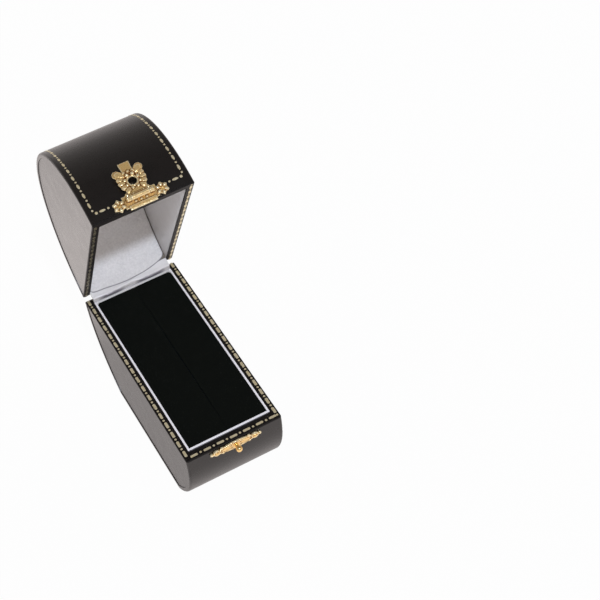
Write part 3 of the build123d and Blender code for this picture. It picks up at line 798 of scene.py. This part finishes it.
def corner_gusset(hand):
    """The satin gathered in a rear corner of the well, with a hollow face against the rounded velvet."""
    turns, levels = 10, 8
    # It reaches the liner cards at the side and the rear
    side_x, rear_y = pad_outer_x + 0.02, pad_half_length + 0.05
    middle = Vector((pad_outer_x - corner_round, pad_half_length - corner_round))
    mesh = bmesh.new()
    rings = []
    for level in range(levels + 1):
        share = level / levels
        height = gusset_foot + (gusset_top - gusset_foot) * share
        # The hollow face clears the velvet by 0.06 mm, and rolls back and sags near the top
        puff = 0.06 + 0.1 * share ** 6
        sag = 0.15 * share ** 6
        ring = [mesh.verts.new((hand * side_x, rear_y, height))]
        for step in range(turns + 1):
            angle = 0.5 * pi * step / turns
            spot = middle + (corner_round + puff) * Vector((cos(angle), sin(angle)))
            x, y = min(spot.x, side_x), min(spot.y, rear_y)
            ring.append(mesh.verts.new((hand * x, y, height - sag * sin(2 * angle))))
        rings.append(ring)
    for low, high in zip(rings, rings[1:]):
        for number in range(turns + 2):
            after = (number + 1) % (turns + 2)
            mesh.faces.new((low[number], low[after], high[after], high[number]))
    mesh.faces.new(rings[0])
    mesh.faces.new(rings[-1])
    bmesh.ops.scale(mesh, vec=(0.001, 0.001, 0.001), verts=mesh.verts)
    data = bpy.data.meshes.new("gusset")
    mesh.to_mesh(data)
    mesh.free()
    gusset = bpy.data.objects.new("gusset", data)
    bpy.context.scene.collection.objects.link(gusset)
    outward(gusset)
    smooth(gusset, 50)
    return gusset


def pad_start(hand, name):
    """A closed block with rounded edges, 20 times too large, from which a pad is blown up. It leaves
    room on every side for the swelling."""
    low = Vector((pad_inner_x + 0.02, -pad_half_length + 0.02, pad_bottom + 0.1))
    high = Vector((pad_outer_x - 0.02, pad_half_length - 0.02, pad_top - 0.08))
    middle, size = (low + high) / 2, high - low
    pad = primitive(bpy.ops.mesh.primitive_cube_add, name, size=1)
    place = Matrix.Translation((hand * middle.x, middle.y, middle.z))
    pad.matrix_world = Matrix.Scale(blown_scale, 4) @ place @ Matrix.Diagonal((size.x, size.y, size.z, 1))
    apply_moves()
    modify(pad, "BEVEL", width=blown_scale * 0.25, segments=2, limit_method="ANGLE", angle_limit=radians(40))
    return pad


def blow_up(pad):
    """Fills a pad like a foam-filled velvet bag with a short cloth simulation."""
    modify(pad, "REMESH", mode="VOXEL", voxel_size=blown_scale * 0.5)
    pick_only(pad)
    before = [vertex.co.copy() for vertex in pad.data.vertices]
    cloth = pad.modifiers.new("cloth", "CLOTH")
    cloth.settings.use_pressure = True
    cloth.settings.uniform_pressure_force = 4
    cloth.settings.effector_weights.gravity = 0
    cloth.point_cache.frame_start = 1
    cloth.point_cache.frame_end = blown_frames
    scene = bpy.context.scene
    for number in range(1, blown_frames + 1):
        scene.frame_set(number)
    bpy.ops.object.modifier_apply(modifier=cloth.name)
    scene.frame_set(1)
    # The liner, the other pad and the foam hold the sides, so only a small part of the swelling stays
    kept_share = 0.12
    for vertex, start in zip(pad.data.vertices, before):
        move = vertex.co - start
        move.length = min(kept_share * move.length, blown_scale * pad_swelling)
        vertex.co = start + move


def velvet_pad(hand, name):
    """One velvet pad, pressed between the liner, the other pad and the foam."""
    pad = pad_start(hand, name)
    blow_up(pad)
    modify(pad, "SUBSURF", levels=1)
    pad_middle, half_width = 7.36, 7.3
    crown_middle, crown_drop, pad_rise = 7.4, 0.12, 0.2
    mesh = edit_mesh(pad)
    for vertex in mesh.verts:
        x, y, z = vertex.co / blown_scale
        # The pads are pressed against their neighbours, which flattens their sides and squares their edges
        x += pad_squaring * (x - hand * pad_middle) / half_width
        y += pad_squaring * y / pad_half_length
        z += pad_rise * (z - pad_bottom) / (pad_top - pad_bottom)
        crown = crown_drop * (((abs(x) - crown_middle) / half_width) ** 2 + (y / pad_half_length) ** 4)
        x = hand * min(max(hand * x, pad_inner_x), pad_outer_x)
        y = min(max(y, -pad_half_length), pad_half_length)
        # The satin is gathered in the rear corners, which rounds the velvet there
        off = Vector((hand * x - pad_outer_x + corner_round, y - pad_half_length + corner_round))
        if min(off) > 0 and off.length > corner_round:
            off.length = corner_round
            x = hand * (pad_outer_x - corner_round + off.x)
            y = pad_half_length - corner_round + off.y
        z = min(max(z, pad_bottom), pad_top - crown)
        vertex.co = Vector((x, y, z))
    bmesh.update_edit_mesh(pad.data)
    leave_edit()
    put(pad, Matrix.Identity(4))
    smooth(pad, 60)
    return pad


# Pressed brass
def boss(u, v, half_u, half_v, half_height, turn=0.0, rise=0.0):
    """One dome of a pressed relief, in its plate's own plane."""
    dome = primitive(bpy.ops.mesh.primitive_uv_sphere_add, "boss", segments=14, ring_count=9, radius=1)
    size = Matrix.Diagonal((half_u, half_v, half_height, 1))
    dome.matrix_world = Matrix.Translation((u, v, rise)) @ Matrix.Rotation(turn, 4, "Z") @ size
    apply_moves()
    return dome


def collar(u, v, radius, thickness, rise):
    """One raised ring of a pressed relief."""
    ring = primitive(
        bpy.ops.mesh.primitive_torus_add, "collar", major_segments=28, minor_segments=8,
        major_radius=radius, minor_radius=thickness, location=(u, v, rise))
    apply_moves()
    return ring


def pressed(node, relief, place, name, groove=None):
    """A CAD plate and its relief, melted together into one soft-edged pressed sheet. The groove says,
    from 0 to 1, how far the sheet is pressed thinner at a place: at 1 it loses 55 % of its thickness."""
    deepest = 0.55
    for part in relief:
        put(part, place)
    piece = joined([node_copy(node), *relief], name)
    modify(piece, "REMESH", mode="VOXEL", voxel_size=0.00011)
    modify(piece, "SMOOTH", factor=0.5, iterations=2)
    if groove:
        back = place.inverted() @ Matrix.Scale(1000, 4)
        forth = back.inverted()
        for vertex in piece.data.vertices:
            spot = back @ vertex.co
            spot.z *= 1 - deepest * groove(spot.x, spot.y)
            vertex.co = forth @ spot
    note_hollows(piece)
    smooth(piece, 60)
    return piece


def around(u, v, radius, angle):
    """A place on a circle, angle in degrees."""
    return u + radius * cos(radians(angle)), v + radius * sin(radians(angle))


# Each side petal of the flap: its angle, its distance from the hole and its three half sizes. The top
# one is the large lobe of the outline.
lobe_angle = 46
flap_petals = (
    (lobe_angle, 4.6, 2.05, 1.3, 0.8), (27, 4.0, 1.25, 1.25, 0.64), (5, 3.6, 1.3, 1.1, 0.56),
    (-20, 3.5, 1.2, 1.1, 0.5), (-46, 3.6, 1.15, 1.05, 0.42))
# The ring of beads round the flap's hole: its radius, the beads' angles, and their sizes above and
# below the hole
bead_ring = 2.5
bead_angles = [22.5 + 45 * number for number in range(8)]
large_bead, small_bead = 0.78, 0.62


def flap_groove(u, v):
    """How deep the flap is pressed in between its petals and beads, from 0 to 1."""
    across, up = abs(u), v - flap_hole_distance
    out = sqrt(across ** 2 + up ** 2)
    if v < 1.3 or up > 3.2 and across < 1.9:
        return 0
    nearest = abs(out - 1.75) / 0.35
    for angle in bead_angles:
        x, y = around(0, 0, bead_ring, angle)
        bead = large_bead if y > 0 else small_bead
        nearest = min(nearest, sqrt((across - x) ** 2 + (up - y) ** 2) / bead)
    for angle, radius, long_half, wide_half, _ in flap_petals:
        way = radians(angle)
        x, y = across - radius * cos(way), up - radius * sin(way)
        along, aside = x * cos(way) + y * sin(way), y * cos(way) - x * sin(way)
        # The two top lobes stay full up to their outline
        share = 1.3 if angle == lobe_angle else 0.85
        nearest = min(nearest, sqrt((along / long_half) ** 2 + (aside / (share * wide_half)) ** 2))
    return min(max((nearest - 0.68) / 0.34, 0), 1)


def flap_relief():
    """Petals, beads and neck of the flap. Each stands out on both faces, and low where the shut flap
    passes the plate's lip and the catch plate."""
    hole = flap_hole_distance
    relief = [collar(0, hole, 1.62, 0.2, 0.0)]
    for angle in bead_angles:
        u, v = around(0, hole, bead_ring, angle)
        size = large_bead if v > hole else small_bead
        relief.append(boss(u, v, size, size, 0.95 if v > 7 else 0.56 if v > 4 else 0.42))
    relief.append(boss(0, hole + 3.55, 0.6, 0.6, 0.85))
    for hand in (-1, 1):
        for angle, radius, long_half, wide_half, half_height in flap_petals:
            way = 90 - hand * (90 - angle)
            u, v = around(0, hole, radius, way)
            relief.append(boss(u, v, long_half, wide_half, half_height, radians(way)))
        u, v = around(0, hole, 3.7, 90 - hand * 24)
        relief.append(boss(u, v, 0.62, 0.62, 0.95))
        relief.append(boss(hand * 1.7, 1.4, 0.5, 0.8, 0.42, hand * 0.35))
    return relief


def hasp_plate_relief():
    """Two star flowers, a scalloped bar and a beaded line above the lip."""
    relief = []
    for hand in (-1, 1):
        centre = hand * flower_offset
        for number in range(6):
            way = 30 + 60 * number
            u, v = around(centre, 0, 1.4, way)
            relief.append(boss(u, v, 0.9, 0.62, 0.55, radians(way), 0.45))
    for number in range(4):
        relief.append(boss((number - 1.5) * 2.4, 2.3, 0.62, 0.62, 0.4, 0, 0.5))
    for number in range(3):
        relief.append(boss((number - 1) * 1.9, -0.55, 0.5, 0.36, 0.32, 0, 0.6))
    return relief


def catch_plate_relief():
    """Two long leaves that meet at the stud, with beaded necks and ball ends."""
    relief = [collar(0, 0.1, 1.45, 0.25, 0.56)]
    for hand in (-1, 1):
        relief.append(boss(hand * 3.3, 0, 2.5, 1.05, 0.38, 0, 0.42))
        relief.append(boss(hand * 2.4, 0.95, 1.5, 0.3, 0.27, -hand * 0.2, 0.52))
        relief.append(boss(hand * 2.4, -0.95, 1.5, 0.3, 0.27, hand * 0.2, 0.52))
        relief.append(collar(hand * 7.2, 0, 1.0, 0.2, 0.6))
        relief.append(boss(hand * 9.0, 0, 0.55, 0.55, 0.5, 0, 0.4))
        relief.append(boss(hand * 8.35, 0, 0.3, 0.62, 0.4, 0, 0.45))
        for way in (-1, 1):
            relief.append(boss(hand * 5.1, way * 0.95, 0.5, 0.45, 0.36, 0, 0.43))
            relief.append(boss(hand * 5.9, way * 0.62, 0.35, 0.35, 0.35, 0, 0.5))
    return relief


# Gilt tooling
def dash_stamp(length, width, name):
    """One stamped dash: a thin round-ended bar with a softened top edge, lying on z 0."""
    size = (length, width, 2 * tooling_height)
    dash = primitive(bpy.ops.mesh.primitive_cube_add, name, size=1, scale=size)
    apply_moves()
    edit_mesh(dash)
    select_edges(dash, lambda edge: abs((edge.verts[0].co - edge.verts[1].co).z) > tooling_height)
    bpy.ops.mesh.bevel(offset=0.42 * width, segments=3)
    bpy.ops.mesh.select_mode(type="FACE")
    select_faces(dash, lambda face: face.normal.z > 0.9)
    bpy.ops.mesh.inset(thickness=0.09 * width, depth=0.3 * tooling_height)
    leave_edit()
    return dash


def oval_stamp(length, width, sides, name):
    """One stamped oval or dot, lying on z 0."""
    depth = 2 * tooling_height
    dot = primitive(bpy.ops.mesh.primitive_cylinder_add, name, vertices=sides, radius=0.5, depth=depth)
    dot.scale = (length, width, 1)
    apply_moves()
    edit_mesh(dot)
    select_faces(dot, lambda face: face.normal.z > 0.9)
    bpy.ops.mesh.inset(thickness=0.1 * width, depth=0.3 * tooling_height)
    leave_edit()
    return dot


def stamped_row(stamps, places, name):
    """Copies stamps to places, given as (kind, move), joined into one piece."""
    row = [copied(stamps[kind], move) for kind, move in places]
    piece = joined(row, name)
    pick_only(piece)
    apply_moves()
    return piece


def drop(pieces):
    """Removes the patterns that copies were made of."""
    for piece in pieces:
        bpy.data.objects.remove(piece)


def wobble(number):
    """A small steady unevenness of hand work, from -1 to 1."""
    return sin(12.9898 * number + 4.1414) * cos(3.7 * number)


def rim_angle():
    """The angle at the drum's centre from level up to the shut lid's rim."""
    return asin((split_height + rim_gap / 2 - drum_centre) / drum_radius)


def on_barrel(x, along, turn):
    """The place on the shut lid's barrel at a distance along the round from the front rim."""
    angle = rim_angle() + along / drum_radius
    spot = Vector((x, -drum_radius * cos(angle), drum_centre + drum_radius * sin(angle)))
    out = Vector((0, -cos(angle), sin(angle)))
    across = Vector((1, 0, 0))
    up = out.cross(across)
    turned = Matrix((across, up, out)).transposed().to_4x4()
    return Matrix.Translation(spot) @ turned @ Matrix.Rotation(turn, 4, "Z")


def lid_tooling_places(pitch):
    """Where the lid's border has its dots and dashes: two sides and two ends."""
    whole = (pi - 2 * rim_angle()) * drum_radius
    side_x, corner_x, end_line, first = box_width / 2 - 2.25, box_width / 2 - 3.1, 3.75, 4.95
    steps = 2 * round((whole - 2 * first) / pitch)
    half = (whole - 2 * first) / steps
    places = []
    for hand in (-1, 1):
        for number in range(steps + 1):
            kind = "dash" if number % 2 else "dot"
            x = hand * side_x + 0.05 * wobble(number + 7 * hand)
            along = first + number * half + 0.05 * wobble(2 * number + hand)
            places.append((kind, on_barrel(x, along, pi / 2 + 0.03 * wobble(number * 1.7))))
        for end in (end_line, whole - end_line):
            places.append(("corner", on_barrel(hand * corner_x, end, 0)))
        for number, kind in enumerate(("dash", "dot")):
            x = hand * (corner_x - (number + 1) * pitch / 2)
            places.append((kind, on_barrel(x, end_line, 0.03 * wobble(number))))
    across = 2 * corner_x
    count = 2 * round(across / pitch)
    for number in range(1, count):
        kind = "dash" if number % 2 else "dot"
        x = -corner_x + across * number / count
        places.append((kind, on_barrel(x, whole - end_line, 0.03 * wobble(number + 3))))
    return places


def rim_tooling_places(pitch, height, facing, front_y, rear_y, inset=1.05):
    """Where a rim has its dots and dashes, on a level plane: both sides, and on the base the front."""
    x_line = box_width / 2 - inset
    places = []

    def spot(kind, x, y, turn):
        """One stamp on the rim."""
        flat = Matrix.Translation((x, y, height)) @ Matrix.Rotation(turn, 4, "Z")
        if facing < 0:
            flat = flat @ Matrix.Rotation(pi, 4, "X")
        places.append((kind, flat))

    for hand in (-1, 1):
        number = 0
        y = front_y if hand > 0 else front_y + 0.45 * pitch
        while y < rear_y:
            kind = "dot" if (number % 2 == 0) == (hand > 0) else "dash"
            x = hand * x_line + 0.05 * wobble(number + 5 * hand)
            spot(kind, x, y, pi / 2 + 0.02 * wobble(number))
            number += 1
            y += pitch / 2
    front_pitch = 4.95
    for number in range(13 if facing > 0 else 0):
        x = -14.5 + number * front_pitch / 2
        spot("dot" if number % 2 else "dash", x, front_y + 0.06 * wobble(number), 0.02 * wobble(number + 2))
    return places


class BANGLEBOX_OT_leather(bpy.types.Operator):
    """Give the covers, cheeks and rims their leatherette"""
    bl_idname = "bangle_box.leather"
    bl_label = "Leatherette"

    def execute(self, context):
        dress(context, [name for name in frame["nodes"] if "leather" in name], "leather")
        dress(context, ["base_rim_leather", "lid_rim_leather"], "rim_leather")
        dress(context, ["base_sole"], "sole")
        return {"FINISHED"}


class BANGLEBOX_OT_lid_tooling(bpy.types.Operator):
    """Stamp the gilt border round the lid's barrel"""
    bl_idname = "bangle_box.lid_tooling"
    bl_label = "Gilt border of the lid"

    def execute(self, context):
        stamps = {
            "dash": oval_stamp(2.15, 0.82, 16, "dash_pattern"),
            "dot": oval_stamp(0.78, 0.72, 10, "dot_pattern"),
            "corner": oval_stamp(1.0, 0.95, 12, "corner_pattern"),
        }
        places = lid_tooling_places(1000 * context.scene.bangle_gilt.lid_pitch)
        border = stamped_row(stamps, places, "lid_gilt_border")
        drop(stamps.values())
        put(border, opening())
        finished(border, "lid", material_of(context, "gilt"))
        return {"FINISHED"}


class BANGLEBOX_OT_rim_tooling(bpy.types.Operator):
    """Stamp the gilt line on the rims of the base and the lid"""
    bl_idname = "bangle_box.rim_tooling"
    bl_label = "Gilt lines of the rims"

    def execute(self, context):
        stamps = {
            "dash": dash_stamp(2.75, 0.95, "rim_dash_pattern"),
            "dot": oval_stamp(0.85, 0.85, 10, "rim_dot_pattern"),
        }
        pitch = 1000 * context.scene.bangle_gilt.rim_pitch
        front_y = -reach_at(split_height) + 1.35
        rear_y = reach_at(split_height) - 2.2
        base_places = rim_tooling_places(pitch, split_height - rim_gap / 2, 1, front_y, rear_y)
        lid_places = rim_tooling_places(pitch, split_height + rim_gap / 2, -1, front_y, rear_y)
        base_line = stamped_row(stamps, base_places, "base_rim_gilt_line")
        put(base_line, Matrix.Identity(4))
        finished(base_line, "base", material_of(context, "gilt"))
        # The lid's left line has more skips in its foil than the right one
        for side, hand, foil in (("left", -1, "sparse_gilt"), ("right", 1, "bright_gilt")):
            places = [place for place in lid_places if hand * place[1].translation.x > 0]
            lid_line = stamped_row(stamps, places, f"lid_rim_gilt_line_{side}")
            put(lid_line, opening())
            finished(lid_line, "lid", material_of(context, foil))
        drop(stamps.values())
        return {"FINISHED"}


class BANGLEBOX_OT_hidden_pieces(bpy.types.Operator):
    """Give the boards, foam, hinge and rods their materials"""
    bl_idname = "bangle_box.hidden_pieces"
    bl_label = "Boards, foam and hinge"

    def execute(self, context):
        dress(context, [name for name in frame["nodes"] if "board" in name], "board")
        dress(context, [name for name in frame["nodes"] if "foam" in name], "foam")
        hinge_words = ("hinge_leaf", "hinge_nails", "hinge_rod")
        hinge = [name for name in frame["nodes"] if any(word in name for word in hinge_words)]
        dress(context, hinge, "black_brass")
        dress(context, ["catch_stud", "hasp_rod", "hasp_plate_tacks", "catch_plate_tacks"], "turned_brass")
        return {"FINISHED"}


class BANGLEBOX_OT_linings(bpy.types.Operator):
    """Line the lid with satin on card and the base with covered card"""
    bl_idname = "bangle_box.linings"
    bl_label = "Satin linings and liner cards"

    def execute(self, context):
        satin = material_of(context, "satin")
        plain = material_of(context, "smooth_satin")
        lining = finished(round_lining(), "lid", satin, ["lid_lining_round"])
        for hand in ("left", "right"):
            lining = bevelled_card(f"lid_lining_{hand}", f"lid_cheek_lining_satin_{hand}", 0.2)
            finished(lining, "lid", plain, [f"lid_lining_{hand}"])
        for side in ("left", "right", "front", "rear"):
            card = bevelled_card(f"liner_card_{side}", f"liner_card_covered_{side}", 0.2)
            if side == "rear":
                card = joined([card, corner_gusset(-1), corner_gusset(1)], "liner_card_covered_rear")
            finish = plain if side == "rear" else material_of(context, "liner")
            finished(card, "base", finish, [f"liner_card_{side}"])
        return {"FINISHED"}


class BANGLEBOX_OT_hinge_strip(bpy.types.Operator):
    """Fold the satin strip over the hinge"""
    bl_idname = "bangle_box.hinge_strip"
    bl_label = "Satin hinge strip"

    def execute(self, context):
        strip, length = hinge_strip()
        strip.data.materials.clear()
        strip.data.materials.append(material_of(context, "smooth_satin"))
        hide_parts("satin_hinge_strip")
        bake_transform(strip)
        return {"FINISHED"}


class BANGLEBOX_OT_velvet(bpy.types.Operator):
    """Make the velvet pads"""
    bl_idname = "bangle_box.velvet"
    bl_label = "Velvet pads"

    def execute(self, context):
        for hand, side in ((-1, "left"), (1, "right")):
            pad = velvet_pad(hand, f"velvet_pad_filled_{side}")
            finished(pad, "base", material_of(context, "velvet"), [f"velvet_pad_{side}"])
        return {"FINISHED"}


class BANGLEBOX_OT_clasp(bpy.types.Operator):
    """Make the hasp and the catch"""
    bl_idname = "bangle_box.clasp"
    bl_label = "Brass hasp and catch"

    def execute(self, context):
        brass = material_of(context, "brass")
        flap = pressed("hasp_flap", flap_relief(), opening() @ flap_place(), "hasp_flap_flower", flap_groove)
        finished(flap, "hasp", brass, ["hasp_flap"])
        plate_place = opening() @ front_place(hasp_plate_height)
        plate = pressed("hasp_plate", hasp_plate_relief(), plate_place, "hasp_plate_flowers")
        finished(plate, "lid", brass, ["hasp_plate"])
        catch_place = front_place(catch_plate_height)
        catch = pressed("catch_plate", catch_plate_relief(), catch_place, "catch_plate_leaves")
        finished(catch, "base", brass, ["catch_plate"])
        return {"FINISHED"}


class BANGLEBOX_OT_stage(bpy.types.Operator):
    """Set up the floor, the light and the camera"""
    bl_idname = "bangle_box.stage"
    bl_label = "Floor, light and camera"

    def execute(self, context):
        settings = context.scene.bangle_stage
        stage_floor(settings)
        stage_light(settings)
        stage_world(context.scene)
        stage_camera(context.scene)
        context.scene.view_settings.view_transform = "Standard"
        return {"FINISHED"}


def stage_floor(settings):
    """A white floor that shows pure white and keeps a soft shadow, with a painted glow that glossy pieces
    mirror.
    """
    floor = primitive(bpy.ops.mesh.primitive_plane_add, "white_floor", size=1)
    floor.scale = (6, 6, 1)
    apply_moves()
    material, tree, place = new_material("white_card_floor")
    rays = add_node(tree, "LightPath").outputs
    mirrored = worked_out(tree, "MAXIMUM", rays["Is Glossy Ray"], rays["Is Transmission Ray"])
    seen = worked_out(tree, "MULTIPLY", rays["Is Camera Ray"], settings.floor_glow)
    reflected = worked_out(tree, "MULTIPLY", mirrored, 0.8)
    # What glossy rays see of the floor is a painted glow, not the lit card: 0.8 of white near the box, rising
    # to 1.6 from 9 cm out, and falling to half of that from 12 to 30 cm
    away = add_node(tree, "VectorMath", {"operation": "LENGTH"}, {0: place}).outputs["Value"]
    nearby = spread(tree, away, 0.055, 0.09, 0.8, 1.6)
    beyond = spread(tree, away, 0.12, 0.3, 1.0, 0.5)
    painted_reflection_glow = worked_out(tree, "MULTIPLY", nearby, beyond)
    strength = add_node(tree, "Mix", {"data_type": "FLOAT"}, {0: mirrored, 2: 1.0, 3: painted_reflection_glow})
    # The painted glow in reflections is a little warm
    white = add_node(tree, "Emission", None, {
        "Color": mixed(tree, mirrored, linear("FFFFFF"), linear("FFF5F1")), "Strength": strength.outputs[0]})
    card = add_node(tree, "BsdfDiffuse", None, {"Color": linear("F7F7F7")})
    share = worked_out(tree, "MAXIMUM", seen, reflected)
    surface = add_node(tree, "MixShader", None, {0: share, 1: card.outputs[0], 2: white.outputs[0]})
    close_material(tree, surface)
    floor.data.materials.append(material)


def stage_light(settings):
    """One key light in front, 53 degrees up, as the shadow edge inside the lid shows."""
    lamp = bpy.data.lights.new("key_light", "SUN")
    lamp.energy = settings.key_strength
    lamp.color = (0.87, 0.955, 1.11)
    lamp.angle = settings.key_width
    light = bpy.data.objects.new("key_light", lamp)
    bpy.context.scene.collection.objects.link(light)
    aim = Vector((-0.035, -0.598, 0.801))
    light.rotation_mode = "QUATERNION"
    light.rotation_quaternion = aim.to_track_quat("Z", "Y")


def stage_world(scene):
    """A pale room that is darker overhead."""
    world = bpy.data.worlds.new("pale_room")
    scene.world = world
    world.use_nodes = True
    tree = world.node_tree
    tree.nodes.clear()
    way = add_node(tree, "TexCoord").outputs["Generated"]
    height = add_node(tree, "SeparateXYZ", None, {0: way}).outputs["Z"]
    tone = ramp_of(tree, height, [(0.0, "F4ECE8"), (0.2, "E6DEDA"), (0.5, "A8A19D"), (0.85, "716C69")])
    # Grey cards stand round the box, which the glossy pieces mirror
    cards = ramp_of(tree, height, [(0.0, "BCB6B3"), (0.2, "B1ABA8"), (0.5, "928D8A"), (0.85, "716C69")])
    rays = add_node(tree, "LightPath").outputs
    colour = mixed(tree, rays["Is Glossy Ray"], tone, cards)
    glow = add_node(tree, "Background", None, {"Color": colour, "Strength": 1.1})
    add_node(tree, "OutputWorld", None, {"Surface": glow.outputs[0]})


def stage_camera(scene):
    """The photograph's view: a long lens, high in front and a little to the left."""
    azimuth, elevation, roll = radians(-23.038), radians(48.068), radians(-7.582)
    spot = (-0.100634, -0.350785, 0.460719)
    back = Vector((sin(azimuth) * cos(elevation), -cos(azimuth) * cos(elevation), sin(elevation)))
    right = Vector((cos(azimuth), sin(azimuth), 0))
    up = back.cross(right)
    side = right * cos(roll) + up * sin(roll)
    top = up * cos(roll) - right * sin(roll)
    data = bpy.data.cameras.new("photo_camera")
    data.sensor_width = 36
    data.lens = 95.292
    camera = bpy.data.objects.new("photo_camera", data)
    scene.collection.objects.link(camera)
    turned = Matrix((side, top, back)).transposed().to_4x4()
    camera.matrix_world = Matrix.Translation(spot) @ turned
    scene.camera = camera


class BANGLEBOX_PT_panel(bpy.types.Panel):
    """Lists the steps and their settings"""
    bl_idname = "BANGLEBOX_PT_panel"
    bl_label = "Bangle box"
    bl_space_type = "VIEW_3D"
    bl_region_type = "UI"
    bl_category = "Bangle box"

    def draw(self, context):
        for operator in operators:
            self.layout.operator(operator.bl_idname)
        for name in settings_groups:
            group = getattr(context.scene, name)
            box = self.layout.box()
            box.label(text=type(group).__doc__)
            for key in type(group).__annotations__:
                box.prop(group, key)


settings_groups = {
    "bangle_leather": BangleLeatherSettings,
    "bangle_gilt": BangleGiltSettings,
    "bangle_satin": BangleSatinSettings,
    "bangle_velvet": BangleVelvetSettings,
    "bangle_brass": BangleBrassSettings,
    "bangle_stage": BangleStageSettings,
}
operators = [
    BANGLEBOX_OT_leather,
    BANGLEBOX_OT_lid_tooling,
    BANGLEBOX_OT_rim_tooling,
    BANGLEBOX_OT_hidden_pieces,
    BANGLEBOX_OT_linings,
    BANGLEBOX_OT_hinge_strip,
    BANGLEBOX_OT_velvet,
    BANGLEBOX_OT_clasp,
    BANGLEBOX_OT_stage,
]


def register():
    """Registers the settings, the steps and the panel."""
    for name, group in settings_groups.items():
        bpy.utils.register_class(group)
        setattr(bpy.types.Scene, name, bpy.props.PointerProperty(type=group))
    for operator in operators:
        bpy.utils.register_class(operator)
    bpy.utils.register_class(BANGLEBOX_PT_panel)


def unregister():
    """Takes them all away again."""
    bpy.utils.unregister_class(BANGLEBOX_PT_panel)
    for operator in reversed(operators):
        bpy.utils.unregister_class(operator)
    for name, group in settings_groups.items():
        delattr(bpy.types.Scene, name)
        bpy.utils.unregister_class(group)


def main():
    """Registers the settings, the steps and the panel, and runs every step in order."""
    register()
    for operator in operators:
        group, step = operator.bl_idname.split(".")
        getattr(getattr(bpy.ops, group), step)()


if __name__ == "__main__":
    main()
